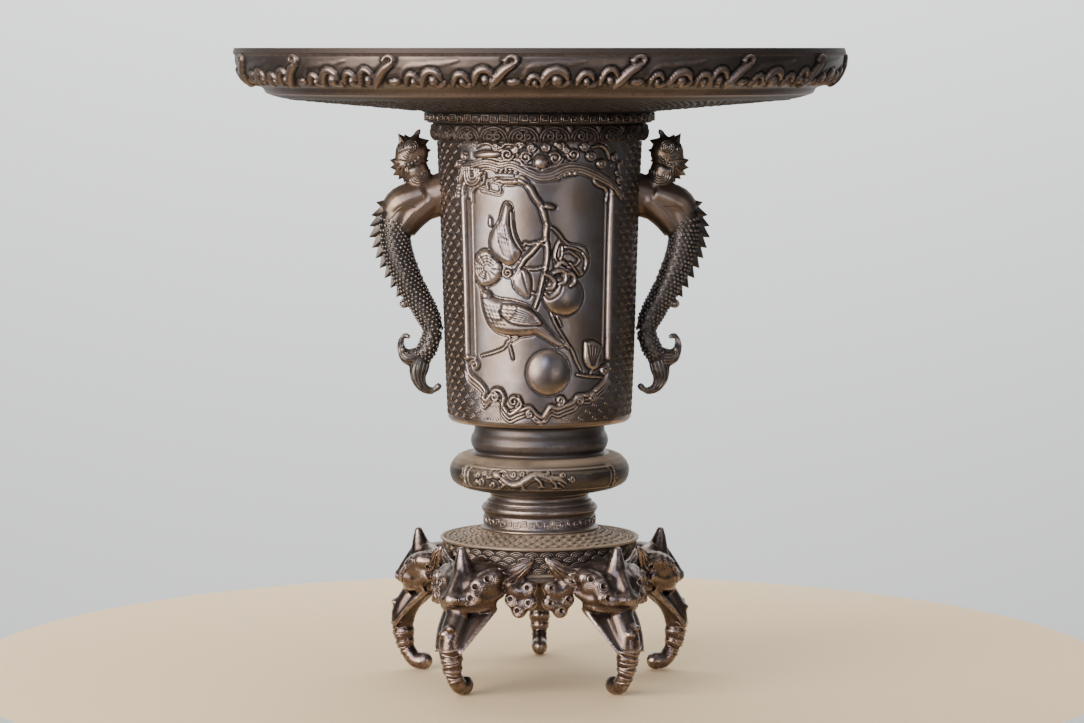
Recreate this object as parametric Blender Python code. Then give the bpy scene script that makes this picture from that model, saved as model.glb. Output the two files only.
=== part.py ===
"""Bronze usubata: a wide flower dish on a tall cylinder body with two dragon fish handles,
standing on a drum that five elephant heads carry on their curled trunks.

Metres, +Z up, origin on the floor under the vase's axis. The front is towards -Y.
"""
import math

import bmesh
import bpy
from mathutils import Matrix, Vector

# Fits and facets
CLEARANCE = 0.0003
DISH_SIDES = 48
BODY_SIDES = 32
STAND_SIDES = 40
SUNK = 0.0009

# Stand: a drum under a low lid that rises to the vase's foot
STAND_HEIGHT = 0.0742
DRUM_RADIUS = 0.0502
DRUM_HEIGHT = 0.0167
DRUM_WALL = 0.0038
LID_THICKNESS = 0.0036
LID_RIM_RADIUS = 0.0519
LID_RIM_HEIGHT = 0.0011
LID_RISE = 0.0050
LEDGE_PROUD = 0.0013
LEDGE_HEIGHT = 0.0030
SCALE_ROWS = 2
SCALE_DEPTH = 0.0004

# Elephant heads that carry the drum
LEG_COUNT = 5
FIRST_LEG_TURN = math.radians(36.0)
HORN_ROOM = 0.0200
LEG_TRIANGLES = 310

# Body: foot, waist with a swollen ring, neck, then the tapered cylinder
FOOT_RADIUS = 0.0308
FOOT_HEIGHT = 0.0015
FRET_BAND_RADIUS = 0.0293
FRET_BAND_HEIGHT = 0.0050
LOWER_BEAD_RADIUS = 0.0302
LOWER_BEAD_HEIGHT = 0.0077
WAIST_RADIUS = 0.0255
WAIST_HEIGHT = 0.0053
RING_RADIUS = 0.0471
RING_HEIGHT = 0.0211
NECK_RADIUS = 0.0339
NECK_HEIGHT = 0.0159
NECK_BEAD_RADIUS = 0.0360
CYLINDER_FOOT_RADIUS = 0.0482
CYLINDER_TOP_RADIUS = 0.0528
CYLINDER_HEIGHT = 0.1470
CYLINDER_EDGE = 0.0026
CLOUD_BAND_RADIUS = 0.0552
CLOUD_BAND_HEIGHT = 0.0082
BODY_WALL = 0.0040
BODY_FLOOR = 0.0045
FOOT_WALL = 0.0038

# Relief panel on the cylinder, front and back, its widths measured along the wall
PANEL_WIDTH = 0.0846
PANEL_HEIGHT = 0.1190
PANEL_RISE = 0.0060
FRAME_WIDTH = 0.0028
FRAME_PROUD = 0.0018
BRANCH_WIDTH = 0.0015
BRANCH_PROUD = 0.0019
PERSIMMON_RADIUS = 0.0112
PERSIMMON_PROUD = 0.0034
LEAF_LENGTH = 0.0100
LEAF_PROUD = 0.0020
BIRD_LENGTH = 0.0300
BIRD_PROUD = 0.0030
ROUND_STEPS = ((1.0, 0.0), (0.84, 0.55), (0.48, 0.90))
DRAGON_LENGTH = 0.0560
DRAGON_WIDTH = 0.0038
DRAGON_PROUD = 0.0018

# Dish: a water pan with a fret collar and a closed well that hangs inside the body
RIM_RADIUS = 0.1590
LIP_HEIGHT = 0.0031
LIP_WIDTH = 0.0038
LIP_PROUD = 0.0016
FLANK_HEIGHT = 0.0175
FLANK_SET_IN = 0.0072
FLANK_REACH = 0.0160
STEP_HEIGHT = 0.0030
STEP_FLARE = 0.0035
STEP_EDGE = 0.0008
UNDERSIDE_RISE = 0.0090
UNDERSIDE_TURN = 0.0090
COLLAR_RADIUS = 0.0596
COLLAR_HEIGHT = 0.0060
PAN_WALL = 0.0030
WELL_DEPTH = 0.0640
WELL_WALL = 0.0022
WELL_GAP = 0.0010
CREST_COUNT = 16
FIRST_CREST_TURN = math.radians(-6.5)
CREST_WIDTH = 0.0042
CREST_PROUD = 0.0024

# Handles: dragon fish, cast on their own and set against the wall
HANDLE_HEIGHT = 0.1370
HANDLE_DROP = 0.0037
HANDLE_TRIANGLES = 440
MANE_SPIKES = 6
MANE_CENTRE = (0.104, 0.128)
MANE_INNER = 0.045
MANE_OUTER = 0.088

# Heights and radii that follow, from the floor up
DRUM_BOTTOM = STAND_HEIGHT - DRUM_HEIGHT
STAND_TOP = STAND_HEIGHT + LID_RISE
BODY_BOTTOM = STAND_TOP + CLEARANCE
BAND_BOTTOM = BODY_BOTTOM + FOOT_HEIGHT
BEAD_BOTTOM = BAND_BOTTOM + FRET_BAND_HEIGHT
WAIST_BOTTOM = BEAD_BOTTOM + LOWER_BEAD_HEIGHT
RING_BOTTOM = WAIST_BOTTOM + WAIST_HEIGHT
NECK_BOTTOM = RING_BOTTOM + RING_HEIGHT
CYLINDER_BOTTOM = NECK_BOTTOM + NECK_HEIGHT
CYLINDER_TOP = CYLINDER_BOTTOM + CYLINDER_HEIGHT
BODY_TOP = CYLINDER_TOP + CLOUD_BAND_HEIGHT
COLLAR_BOTTOM = BODY_TOP + CLEARANCE
UNDERSIDE_BOTTOM = COLLAR_BOTTOM + COLLAR_HEIGHT
STEP_BOTTOM = UNDERSIDE_BOTTOM + UNDERSIDE_RISE
FLANK_BOTTOM = STEP_BOTTOM + STEP_HEIGHT
LIP_BOTTOM = FLANK_BOTTOM + FLANK_HEIGHT
DISH_TOP = LIP_BOTTOM + LIP_HEIGHT
STEP_RADIUS = RIM_RADIUS - FLANK_REACH
WELL_BOTTOM = BODY_TOP - WELL_DEPTH
TAPER = (CYLINDER_TOP_RADIUS - CYLINDER_FOOT_RADIUS) / CYLINDER_HEIGHT
WELL_RADIUS = CYLINDER_FOOT_RADIUS + TAPER * (WELL_BOTTOM - CYLINDER_BOTTOM) - BODY_WALL - WELL_GAP
PANEL_BOTTOM = CYLINDER_BOTTOM + PANEL_RISE
PANEL_TOP = PANEL_BOTTOM + PANEL_HEIGHT
HANDLE_TOP = BODY_TOP - HANDLE_DROP


def clear_scene():
    """Take every object out of the open scene."""
    for thing in list(bpy.data.objects):
        bpy.data.objects.remove(thing, do_unlink=True)


def bronze(name, colour, roughness):
    """A patinated bronze, darker where it is rougher."""
    material = bpy.data.materials.new(name)
    material.use_nodes = True
    shader = material.node_tree.nodes["Principled BSDF"]
    shader.inputs["Base Color"].default_value = (*colour, 1.0)
    shader.inputs["Metallic"].default_value = 0.9
    shader.inputs["Roughness"].default_value = roughness
    material.diffuse_color = (*colour, 1.0)
    return material


def solid(name, mesh_maker):
    """An object from a bmesh, with its faces turned outwards."""
    bmesh.ops.recalc_face_normals(mesh_maker, faces=mesh_maker.faces)
    if mesh_maker.calc_volume(signed=True) < 0.0:
        bmesh.ops.reverse_faces(mesh_maker, faces=mesh_maker.faces)
    mesh = bpy.data.meshes.new(name)
    mesh_maker.to_mesh(mesh)
    mesh_maker.free()
    thing = bpy.data.objects.new(name, mesh)
    bpy.context.scene.collection.objects.link(thing)
    return thing


def evaluated_mesh(thing):
    """The mesh that an object's modifiers give."""
    view = bpy.context.evaluated_depsgraph_get()
    return bpy.data.meshes.new_from_object(thing.evaluated_get(view))


def bake(thing):
    """Put what the modifiers give in the object's mesh."""
    thing.data = evaluated_mesh(thing)
    thing.modifiers.clear()


def combine(thing, others, operation):
    """Join others to a solid, or cut them from it, and delete them."""
    for other in others:
        step = thing.modifiers.new(operation.title(), "BOOLEAN")
        step.operation = operation
        step.solver = "EXACT"
        step.object = other
        bake(thing)
        bpy.data.objects.remove(other, do_unlink=True)


def dress(thing, material, sharp_angle=math.radians(35.0)):
    """Give a finished casting its metal and smooth shading."""
    thing.data.materials.clear()
    thing.data.materials.append(material)
    thing.data.shade_smooth()
    thing.data.set_sharp_from_angle(angle=sharp_angle)


def turned(outline, sides):
    """A closed solid turned round Z from (radius, height) points, outer side top to bottom.

    A point may carry a third value, a rule that swells its radius with the turn.
    """
    maker = bmesh.new()
    rings = []
    for radius, height, *rule in outline:
        if radius == 0.0:
            rings.append([maker.verts.new((0.0, 0.0, height))])
            continue
        ring = []
        for step in range(sides):
            turn = math.tau * step / sides
            reach = radius + (rule[0](turn) if rule else 0.0)
            ring.append(maker.verts.new((reach * math.sin(turn), -reach * math.cos(turn), height)))
        rings.append(ring)
    for upper, lower in zip(rings, rings[1:] + rings[:1]):
        for step in range(sides):
            following = (step + 1) % sides
            corners = [upper[step % len(upper)], upper[following % len(upper)],
                       lower[following % len(lower)], lower[step % len(lower)]]
            face = list(dict.fromkeys(corners))
            if len(face) > 2:
                maker.faces.new(face)
    return maker


def lobes(count, depth, phase=0.0):
    """Even swellings round a turned piece."""
    return lambda turn: depth * math.cos(count * turn + phase)


def outline_radius(outline, height):
    """The outer radius of a turned outline at a height, between its listed points."""
    for (upper_radius, upper, *_), (lower_radius, lower, *_) in zip(outline, outline[1:]):
        if lower <= height <= upper and upper > lower:
            share = (height - lower) / (upper - lower)
            return lower_radius + share * (upper_radius - lower_radius)
    return outline[-1][0]


# Relief that lies on a turned wall

def wrapped(maker, outline, mean_radius, facing):
    """Lay a flat relief, made in (along, proud, height), on a turned wall."""
    for vert in maker.verts:
        along, proud, height = vert.co
        turn = along / mean_radius + facing
        reach = outline_radius(outline, height) + proud
        vert.co = (reach * math.sin(turn), -reach * math.cos(turn), height)
    return solid("relief", maker)


def strip(points, widths, prouds):
    """A ridge with a three-cornered section through (along, height) points, its foot sunk in the wall."""
    maker = bmesh.new()
    sections = []
    for index, (along, height) in enumerate(points):
        before = Vector(points[max(index - 1, 0)])
        after = Vector(points[min(index + 1, len(points) - 1)])
        across = (after - before).normalized().orthogonal()
        half = widths[index] / 2.0
        corners = []
        for side, proud in ((-1.0, -SUNK), (0.0, prouds[index]), (1.0, -SUNK)):
            spot = Vector((along, height)) + across * (half * side)
            corners.append(maker.verts.new((spot.x, proud, spot.y)))
        sections.append(corners)
    for one, other in zip(sections, sections[1:]):
        for corner in range(3):
            following = (corner + 1) % 3
            maker.faces.new((one[corner], one[following], other[following], other[corner]))
    maker.faces.new(sections[0])
    maker.faces.new(reversed(sections[-1]))
    return maker


def ridge(points, width, proud):
    """A strip of one width."""
    return strip(points, [width] * len(points), [proud] * len(points))


def boss(along, height, half_length, half_width, proud, lean=0.0, sides=8,
         steps=((1.0, 0.0), (0.66, 0.85))):
    """A low dome with an oval foot, its long axis turned by lean.

    Its steps give shares of the foot's size and of the height; the first is the foot.
    """
    maker = bmesh.new()
    rings = []
    for share, level in steps:
        rise = level * proud - (SUNK if level == 0.0 else 0.0)
        ring = []
        for step in range(sides):
            turn = math.tau * step / sides
            right = share * half_length * math.cos(turn)
            up = share * half_width * math.sin(turn)
            spot = Matrix.Rotation(lean, 2) @ Vector((right, up))
            ring.append(maker.verts.new((along + spot.x, rise, height + spot.y)))
        rings.append(ring)
    top = maker.verts.new((along, proud, height))
    for lower, upper in zip(rings, rings[1:]):
        for step in range(sides):
            following = (step + 1) % sides
            maker.faces.new((lower[step], lower[following], upper[following], upper[step]))
    for step in range(sides):
        maker.faces.new((rings[-1][step], rings[-1][(step + 1) % sides], top))
    maker.faces.new(reversed(rings[0]))
    return maker


# Stand

def stand_outline():
    """The drum from the middle of its lid, down to the rim, down the side and up inside."""
    rim_bottom = STAND_HEIGHT - LID_RIM_HEIGHT
    ledge_top = DRUM_BOTTOM + LEDGE_HEIGHT
    side = []
    for row in range(SCALE_ROWS):
        height = rim_bottom + (ledge_top - rim_bottom) * (row + 0.3) / SCALE_ROWS
        side.append((DRUM_RADIUS, height, lobes(STAND_SIDES / 2, SCALE_DEPTH, math.pi * row)))
    seat = FOOT_RADIUS + 2 * CLEARANCE
    rim_inside = LID_RIM_RADIUS - 2 * LID_RIM_HEIGHT
    return [
        (0.0, STAND_TOP),
        (seat, STAND_TOP),
        (seat + 0.5 * (rim_inside - seat), STAND_HEIGHT + 0.38 * LID_RISE),
        (rim_inside, STAND_HEIGHT),
        (LID_RIM_RADIUS - LID_RIM_HEIGHT, STAND_HEIGHT + LID_RIM_HEIGHT),
        (LID_RIM_RADIUS, STAND_HEIGHT),
        (LID_RIM_RADIUS, rim_bottom),
        *side,
        (DRUM_RADIUS, ledge_top),
        (DRUM_RADIUS + LEDGE_PROUD, ledge_top - LEDGE_PROUD / 2),
        (DRUM_RADIUS + LEDGE_PROUD, DRUM_BOTTOM),
        (DRUM_RADIUS - DRUM_WALL, DRUM_BOTTOM),
        (DRUM_RADIUS - DRUM_WALL, STAND_HEIGHT - LID_THICKNESS),
        (seat, STAND_TOP - LID_THICKNESS),
        (0.0, STAND_TOP - LID_THICKNESS),
    ]


def make_stand(metal):
    thing = solid("stand", turned(stand_outline(), STAND_SIDES))
    dress(thing, metal)
    return thing


# Free forms built from tubes, then melted into one skin

def tube(points, radii, sides=10, flat=1.0, side_on=Vector((0.0, 1.0, 0.0))):
    """A closed tube through points with its own radius at each, flattened along side_on."""
    maker = bmesh.new()
    rings = []
    for index, centre in enumerate(points):
        before = Vector(points[max(index - 1, 0)])
        after = Vector(points[min(index + 1, len(points) - 1)])
        along = (after - before).normalized()
        across = side_on - along * side_on.dot(along)
        across.normalize()
        third = along.cross(across)
        ring = []
        for step in range(sides):
            turn = math.tau * step / sides
            reach = across * (flat * math.cos(turn)) + third * math.sin(turn)
            ring.append(maker.verts.new(Vector(centre) + reach * radii[index]))
        rings.append(ring)
    for one, other in zip(rings, rings[1:]):
        for step in range(sides):
            following = (step + 1) % sides
            maker.faces.new((one[step], one[following], other[following], other[step]))
    maker.faces.new(reversed(rings[0]))
    maker.faces.new(rings[-1])
    return solid("tube", maker)


def ball(centre, radii):
    """An oval ball."""
    maker = bmesh.new()
    bmesh.ops.create_uvsphere(maker, u_segments=12, v_segments=8, radius=1.0)
    for vert in maker.verts:
        vert.co = Vector(centre) + Vector(radii) * vert.co
    return solid("ball", maker)


def spike(foot, tip, radius, flat=1.0):
    """A pointed cone with a rounded tip."""
    near = Vector(foot).lerp(Vector(tip), 0.55)
    return tube((foot, near, tip), (radius, radius * 0.62, radius * 0.16), sides=8, flat=flat)


def melted(name, parts, voxel, triangles):
    """One closed skin round parts that overlap, thinned to a number of triangles."""
    maker = bmesh.new()
    for thing in parts:
        maker.from_mesh(thing.data)
        bpy.data.objects.remove(thing, do_unlink=True)
    whole = solid(name, maker)
    skin = whole.modifiers.new("Skin", "REMESH")
    skin.mode = "VOXEL"
    skin.voxel_size = voxel
    bake(whole)
    thin = whole.modifiers.new("Thin", "DECIMATE")
    thin.use_collapse_triangulate = True
    thin.ratio = triangles / sum(len(face.vertices) - 2 for face in whole.data.polygons)
    bake(whole)
    return whole


# Elephant heads

def head_point(reach, turn, height):
    """A place on an elephant head: reach from the drum's side, turn in degrees, share of height.

    Reach and height are shares of the stand's height, so the head keeps its proportions.
    """
    radius = DRUM_RADIUS + reach * STAND_HEIGHT
    angle = math.radians(turn)
    return Vector((radius * math.sin(angle), -radius * math.cos(angle), height * STAND_HEIGHT))


def trunk():
    """The trunk: down from the mouth, out, then curled in to the ball it stands on."""
    course = ((0.26, 0.56, 0.125), (0.315, 0.44, 0.110), (0.348, 0.355, 0.096), (0.350, 0.28, 0.083),
              (0.335, 0.20, 0.070), (0.308, 0.125, 0.060), (0.258, 0.068, 0.062), (0.215, 0.066, 0.066))
    points = [head_point(reach, 0.0, height) for reach, height, _ in course]
    radii = [radius * STAND_HEIGHT for *_, radius in course]
    curl = ball(head_point(0.190, 0.0, 0.066), [0.0775 * STAND_HEIGHT] * 3)
    lip = ball(head_point(0.226, 0.0, 0.124), [0.040 * STAND_HEIGHT] * 3)
    return [tube(points, radii, sides=12, side_on=Vector((1.0, 0.0, 0.0))), curl, lip]


def head_side(hand):
    """What an elephant head has on one side: ear, tusk, eye roll and beard curls."""
    size = STAND_HEIGHT
    ear_course = ((0.13, 6.0, 0.77, 0.085), (0.09, 12.0, 0.79, 0.070), (0.06, 20.0, 0.825, 0.066),
                  (0.045, 27.0, 0.870, 0.058), (0.030, 31.0, 0.905, 0.036), (0.018, 33.0, 0.955, 0.014))
    ear = tube([head_point(reach, hand * turn, height) for reach, turn, height, _ in ear_course],
               [radius * size for *_, radius in ear_course], sides=8, flat=0.40,
               side_on=Vector((math.sin(hand * 0.4), -math.cos(0.4), 0.0)))
    tusk = tube((head_point(0.18, hand * 8.5, 0.60), head_point(0.32, hand * 6.5, 0.42),
                 head_point(0.395, hand * 4.0, 0.27)), (0.056 * size, 0.046 * size, 0.016 * size), sides=8)
    eye = ball(head_point(0.320, hand * 7.2, 0.660), [0.050 * size] * 3)
    temple = ball(head_point(0.235, hand * 9.5, 0.730), [0.062 * size] * 3)
    beard = [ball(head_point(reach, hand * turn, height), (wide * size, deep * size, tall * size))
             for reach, turn, height, wide, deep, tall in (
                 (0.055, 16.0, 0.690, 0.085, 0.060, 0.085), (0.040, 24.0, 0.690, 0.075, 0.055, 0.085),
                 (0.035, 31.0, 0.720, 0.042, 0.050, 0.058), (0.045, 25.5, 0.595, 0.052, 0.050, 0.060))]
    return [ear, tusk, eye, temple, *beard]


def elephant_head(metal):
    """One head and trunk, facing -Y, before it is turned to its place."""
    size = STAND_HEIGHT
    skull = ball(head_point(0.20, 0.0, 0.76), (0.165 * size, 0.155 * size, 0.135 * size))
    brow = tube((head_point(0.33, -7.0, 0.665), head_point(0.362, 0.0, 0.690), head_point(0.33, 7.0, 0.665)),
                (0.046 * size, 0.056 * size, 0.046 * size), side_on=Vector((0.0, 0.0, 1.0)))
    cheek = ball(head_point(0.20, 0.0, 0.63), (0.150 * size, 0.130 * size, 0.070 * size))
    root = tube((head_point(-0.05, 0.0, 0.85), head_point(0.10, 0.0, 0.83), head_point(0.20, 0.0, 0.80)),
                (0.115 * size, 0.105 * size, 0.120 * size), side_on=Vector((1.0, 0.0, 0.0)))
    horn = tube((head_point(0.25, 0.0, 0.78), head_point(0.235, 0.0, 0.90), head_point(0.236, 0.0, 1.02)),
                (0.090 * size, 0.066 * size, 0.036 * size), side_on=Vector((1.0, 0.0, 0.0)))
    throat = tube((head_point(0.02, 0.0, 0.62), head_point(0.16, 0.0, 0.60), head_point(0.26, 0.0, 0.56)),
                  (0.085 * size, 0.085 * size, 0.100 * size), side_on=Vector((1.0, 0.0, 0.0)))
    lip = tube((head_point(0.13, 0.0, 0.585), head_point(0.31, 0.0, 0.60), head_point(0.375, 0.0, 0.605)),
               (0.10 * size, 0.10 * size, 0.05 * size), side_on=Vector((0.0, 0.0, 1.0)), flat=0.28)
    parts = [skull, brow, cheek, root, horn, throat, lip, *trunk(), *head_side(1.0), *head_side(-1.0)]
    whole = melted("elephant", parts, voxel=0.0009, triangles=LEG_TRIANGLES)
    combine(whole, [solid("drum room", drum_room()), floor_cutter()], "DIFFERENCE")
    dress(whole, metal, math.radians(50.0))
    return whole


def drum_room():
    """The room that the drum needs, with the clearance, for cutting the heads."""
    rim = LID_RIM_RADIUS + CLEARANCE
    side = DRUM_RADIUS + SCALE_DEPTH + CLEARANCE
    ledge = DRUM_RADIUS + LEDGE_PROUD + CLEARANCE
    above = STAND_HEIGHT + HORN_ROOM
    return turned([(0.0, above), (rim, above), (rim, STAND_HEIGHT - 3 * LID_RIM_HEIGHT),
                   (side, STAND_HEIGHT - 4 * LID_RIM_HEIGHT),
                   (side, DRUM_BOTTOM + LEDGE_HEIGHT + LEDGE_PROUD), (ledge, DRUM_BOTTOM + LEDGE_HEIGHT),
                   (ledge, DRUM_BOTTOM - CLEARANCE), (0.0, DRUM_BOTTOM - CLEARANCE)], STAND_SIDES)


def floor_cutter():
    """A block under the floor, which gives each foot its small flat spot."""
    floor = bmesh.new()
    bmesh.ops.create_cube(floor, size=4 * STAND_HEIGHT)
    bmesh.ops.translate(floor, verts=floor.verts, vec=(0.0, 0.0, -2 * STAND_HEIGHT))
    return solid("floor", floor)


def make_legs(metal):
    """Five heads, evenly round the drum, that share one casting pattern."""
    pattern = elephant_head(metal)
    for index in range(LEG_COUNT):
        leg = bpy.data.objects.new(f"elephant_leg_{index + 1}", pattern.data)
        leg.rotation_euler.z = FIRST_LEG_TURN + math.tau * index / LEG_COUNT
        bpy.context.scene.collection.objects.link(leg)
    bpy.data.objects.remove(pattern, do_unlink=True)


# Body

def body_outer():
    """The body's outer side, from the mouth down to the foot."""
    return [
        (CLOUD_BAND_RADIUS, BODY_TOP),
        (CLOUD_BAND_RADIUS, BODY_TOP - 0.8 * CLOUD_BAND_HEIGHT),
        (CYLINDER_TOP_RADIUS, CYLINDER_TOP),
        (CYLINDER_FOOT_RADIUS, CYLINDER_BOTTOM + CYLINDER_EDGE),
        (CYLINDER_FOOT_RADIUS - 1.4 * CYLINDER_EDGE, CYLINDER_BOTTOM),
        (NECK_RADIUS, CYLINDER_BOTTOM - CYLINDER_EDGE),
        (NECK_RADIUS, NECK_BOTTOM + 0.62 * NECK_HEIGHT),
        (NECK_BEAD_RADIUS, NECK_BOTTOM + 0.42 * NECK_HEIGHT),
        (NECK_RADIUS, NECK_BOTTOM),
        (RING_RADIUS - 0.31 * (RING_RADIUS - NECK_RADIUS), NECK_BOTTOM - 0.12 * RING_HEIGHT),
        (RING_RADIUS, RING_BOTTOM + 0.56 * RING_HEIGHT),
        (RING_RADIUS - 0.20 * (RING_RADIUS - NECK_RADIUS), RING_BOTTOM + 0.20 * RING_HEIGHT),
        (WAIST_RADIUS + 0.30 * (RING_RADIUS - WAIST_RADIUS), RING_BOTTOM),
        (WAIST_RADIUS, WAIST_BOTTOM + 0.5 * WAIST_HEIGHT),
        (LOWER_BEAD_RADIUS, BEAD_BOTTOM + 0.72 * LOWER_BEAD_HEIGHT),
        (LOWER_BEAD_RADIUS, BEAD_BOTTOM + 0.36 * LOWER_BEAD_HEIGHT),
        (FRET_BAND_RADIUS, BEAD_BOTTOM),
        (FRET_BAND_RADIUS, BAND_BOTTOM),
        (FOOT_RADIUS, BODY_BOTTOM),
    ]


def body_inner():
    """The hollow under the cylinder's floor, then the cylinder's own hollow."""
    return [
        (FOOT_RADIUS - FOOT_WALL, BODY_BOTTOM),
        (WAIST_RADIUS - FOOT_WALL, WAIST_BOTTOM),
        (WAIST_RADIUS - FOOT_WALL, RING_BOTTOM + 0.10 * RING_HEIGHT),
        (RING_RADIUS - 2 * FOOT_WALL, RING_BOTTOM + 0.48 * RING_HEIGHT),
        (NECK_RADIUS - FOOT_WALL, NECK_BOTTOM - 0.12 * RING_HEIGHT),
        (NECK_RADIUS - FOOT_WALL, CYLINDER_BOTTOM),
        (0.0, CYLINDER_BOTTOM),
        (0.0, CYLINDER_BOTTOM + BODY_FLOOR),
        (CYLINDER_FOOT_RADIUS - BODY_WALL, CYLINDER_BOTTOM + BODY_FLOOR),
        (CYLINDER_TOP_RADIUS - BODY_WALL, CYLINDER_TOP),
        (CYLINDER_TOP_RADIUS - BODY_WALL, BODY_TOP),
    ]


def panel_frame():
    """Two upright strips, a waving ribbon over them and a scrolled border under them."""
    half = PANEL_WIDTH / 2.0
    pieces = [ridge([(side * half, PANEL_BOTTOM + 0.20 * PANEL_HEIGHT),
                     (side * half, PANEL_TOP - 0.03 * PANEL_HEIGHT)], FRAME_WIDTH, FRAME_PROUD)
              for side in (-1.0, 1.0)]
    room = CYLINDER_TOP - PANEL_TOP
    wave = [(half * (step / 4.0 - 1.0) * 1.04, PANEL_TOP + room * (0.34 - 0.12 * math.cos(math.pi * step / 2)))
            for step in range(9)]
    pieces.append(ridge(wave, 1.3 * FRAME_WIDTH, 1.2 * FRAME_PROUD))
    border = [(along * half, PANEL_BOTTOM + height * PANEL_HEIGHT)
              for along, height in ((0.0, 0.0), (0.30, 0.035), (0.56, 0.03), (0.80, 0.10), (1.02, 0.20))]
    mirrored = [(-along, height) for along, height in reversed(border[1:])]
    pieces.append(ridge(mirrored + border, 1.4 * FRAME_WIDTH, 1.2 * FRAME_PROUD))
    return pieces


def cloud_cluster():
    """The cloud over the panel: a ball between scrolled lobes."""
    half = PANEL_WIDTH / 2.0
    room = CYLINDER_TOP - PANEL_TOP
    middle = PANEL_TOP + 0.62 * room
    lobe = 0.32 * room
    pieces = [boss(0.0, middle, 0.6 * lobe, 0.6 * lobe, 2.2 * FRAME_PROUD, sides=6)]
    for side in (-1.0, 1.0):
        pieces.append(boss(side * 0.28 * half, middle, 1.2 * lobe, 0.6 * lobe, 1.5 * FRAME_PROUD,
                           -side * 0.25, sides=6))
    return pieces


def panel_spot(along, rise):
    """A place in the panel: shares of its half width and of its height."""
    return (along * PANEL_WIDTH / 2.0, PANEL_BOTTOM + rise * PANEL_HEIGHT)


def branch(points, start_width, end_width):
    """A branch that thins from its first point to its last."""
    last = len(points) - 1
    widths = [start_width + (end_width - start_width) * index / last for index in range(last + 1)]
    return strip([panel_spot(*point) for point in points], widths, [BRANCH_PROUD] * (last + 1))


def persimmon(along, rise, size=1.0):
    """A round fruit in high relief."""
    spot = panel_spot(along, rise)
    return boss(*spot, size * PERSIMMON_RADIUS, size * PERSIMMON_RADIUS, PERSIMMON_PROUD, sides=10,
                steps=ROUND_STEPS)


def leaf(along, rise, length, width, lean=0.0):
    """A leaf, its length and width shares of the usual leaf's length."""
    return boss(*panel_spot(along, rise), length * LEAF_LENGTH, width * LEAF_LENGTH, LEAF_PROUD, lean, sides=6)


def bird(along, rise, lean):
    """A long-tailed bird: oval body, round head and a tail."""
    here = Vector(panel_spot(along, rise))
    ahead = Vector((math.cos(lean), math.sin(lean)))
    head = here + ahead * (0.46 * BIRD_LENGTH)
    tail = [here - ahead * (share * BIRD_LENGTH) for share in (0.25, 0.98)]
    return [
        boss(here.x, here.y, 0.42 * BIRD_LENGTH, 0.25 * BIRD_LENGTH, BIRD_PROUD, lean, steps=ROUND_STEPS),
        boss(head.x, head.y, 0.20 * BIRD_LENGTH, 0.13 * BIRD_LENGTH, 0.8 * BIRD_PROUD, lean, sides=6),
        strip([tuple(spot) for spot in tail], [0.30 * BIRD_LENGTH, 0.19 * BIRD_LENGTH],
              [0.75 * BIRD_PROUD, 0.35 * BIRD_PROUD]),
    ]


def front_picture():
    """Two birds on a persimmon tree: trunk, side branches, twigs, fruits, leaves and birds."""
    thick = 2.4 * BRANCH_WIDTH
    return [
        branch([(-0.30, 0.985), (-0.01, 0.885), (0.11, 0.74), (0.03, 0.53), (-0.09, 0.43)],
               thick, BRANCH_WIDTH),
        branch([(0.10, 0.80), (0.34, 0.72), (0.62, 0.685)], 1.4 * BRANCH_WIDTH, BRANCH_WIDTH),
        branch([(0.09, 0.735), (-0.42, 0.575)], 1.8 * BRANCH_WIDTH, BRANCH_WIDTH),
        branch([(-0.84, 0.24), (-0.36, 0.30), (-0.10, 0.335)], BRANCH_WIDTH, 1.4 * BRANCH_WIDTH),
        persimmon(0.11, 0.17),
        persimmon(0.36, 0.505, 0.92),
        leaf(0.40, 0.620, 1.15, 0.62, 0.5),
        leaf(-0.66, 0.615, 0.82, 0.86),
        leaf(-0.24, 0.55, 0.62, 0.42, -1.0),
        leaf(0.76, 0.225, 0.62, 0.80),
        *bird(-0.40, 0.715, math.radians(-78.0)),
        *bird(-0.47, 0.405, math.radians(158.0)),
    ]


def back_picture():
    """The side that the photograph hides, in keeping and plainer: one branch with fruit."""
    thick = 2.2 * BRANCH_WIDTH
    return [
        branch([(0.40, 0.985), (0.02, 0.76), (0.04, 0.46)], thick, BRANCH_WIDTH),
        branch([(0.02, 0.76), (-0.50, 0.70)], 1.6 * BRANCH_WIDTH, BRANCH_WIDTH),
        persimmon(0.10, 0.36),
        persimmon(-0.42, 0.60, 0.9),
        leaf(0.28, 0.55, 0.95, 0.55, -0.6),
    ]


def ring_dragon():
    """The dragon that winds along the front of the swollen ring."""
    half = DRAGON_LENGTH / 2.0
    middle = RING_BOTTOM + 0.55 * RING_HEIGHT
    turns = 8
    spine = [(half * (2.0 * step / turns - 1.0), middle + 0.13 * RING_HEIGHT * math.sin(2.4 * step))
             for step in range(turns + 1)]
    widths = [DRAGON_WIDTH * (1.0 - 0.6 * abs(step / turns - 0.4)) for step in range(turns + 1)]
    head = boss(1.06 * half, middle, 1.2 * DRAGON_WIDTH, 0.8 * DRAGON_WIDTH, 1.6 * DRAGON_PROUD, sides=6)
    return [strip(spine, widths, [DRAGON_PROUD] * (turns + 1)), head]


def make_body(metal):
    outer = body_outer()
    thing = solid("body", turned(outer + body_inner(), BODY_SIDES))
    mean_radius = (CYLINDER_TOP_RADIUS + CYLINDER_FOOT_RADIUS) / 2.0
    reliefs = []
    for facing, picture in ((0.0, cloud_cluster() + front_picture()), (math.pi, back_picture())):
        reliefs += [wrapped(piece, outer, mean_radius, facing) for piece in panel_frame() + picture]
    reliefs += [wrapped(piece, outer, RING_RADIUS, 0.0) for piece in ring_dragon()]
    combine(thing, reliefs, "UNION")
    dress(thing, metal)
    return thing


# Dish

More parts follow.
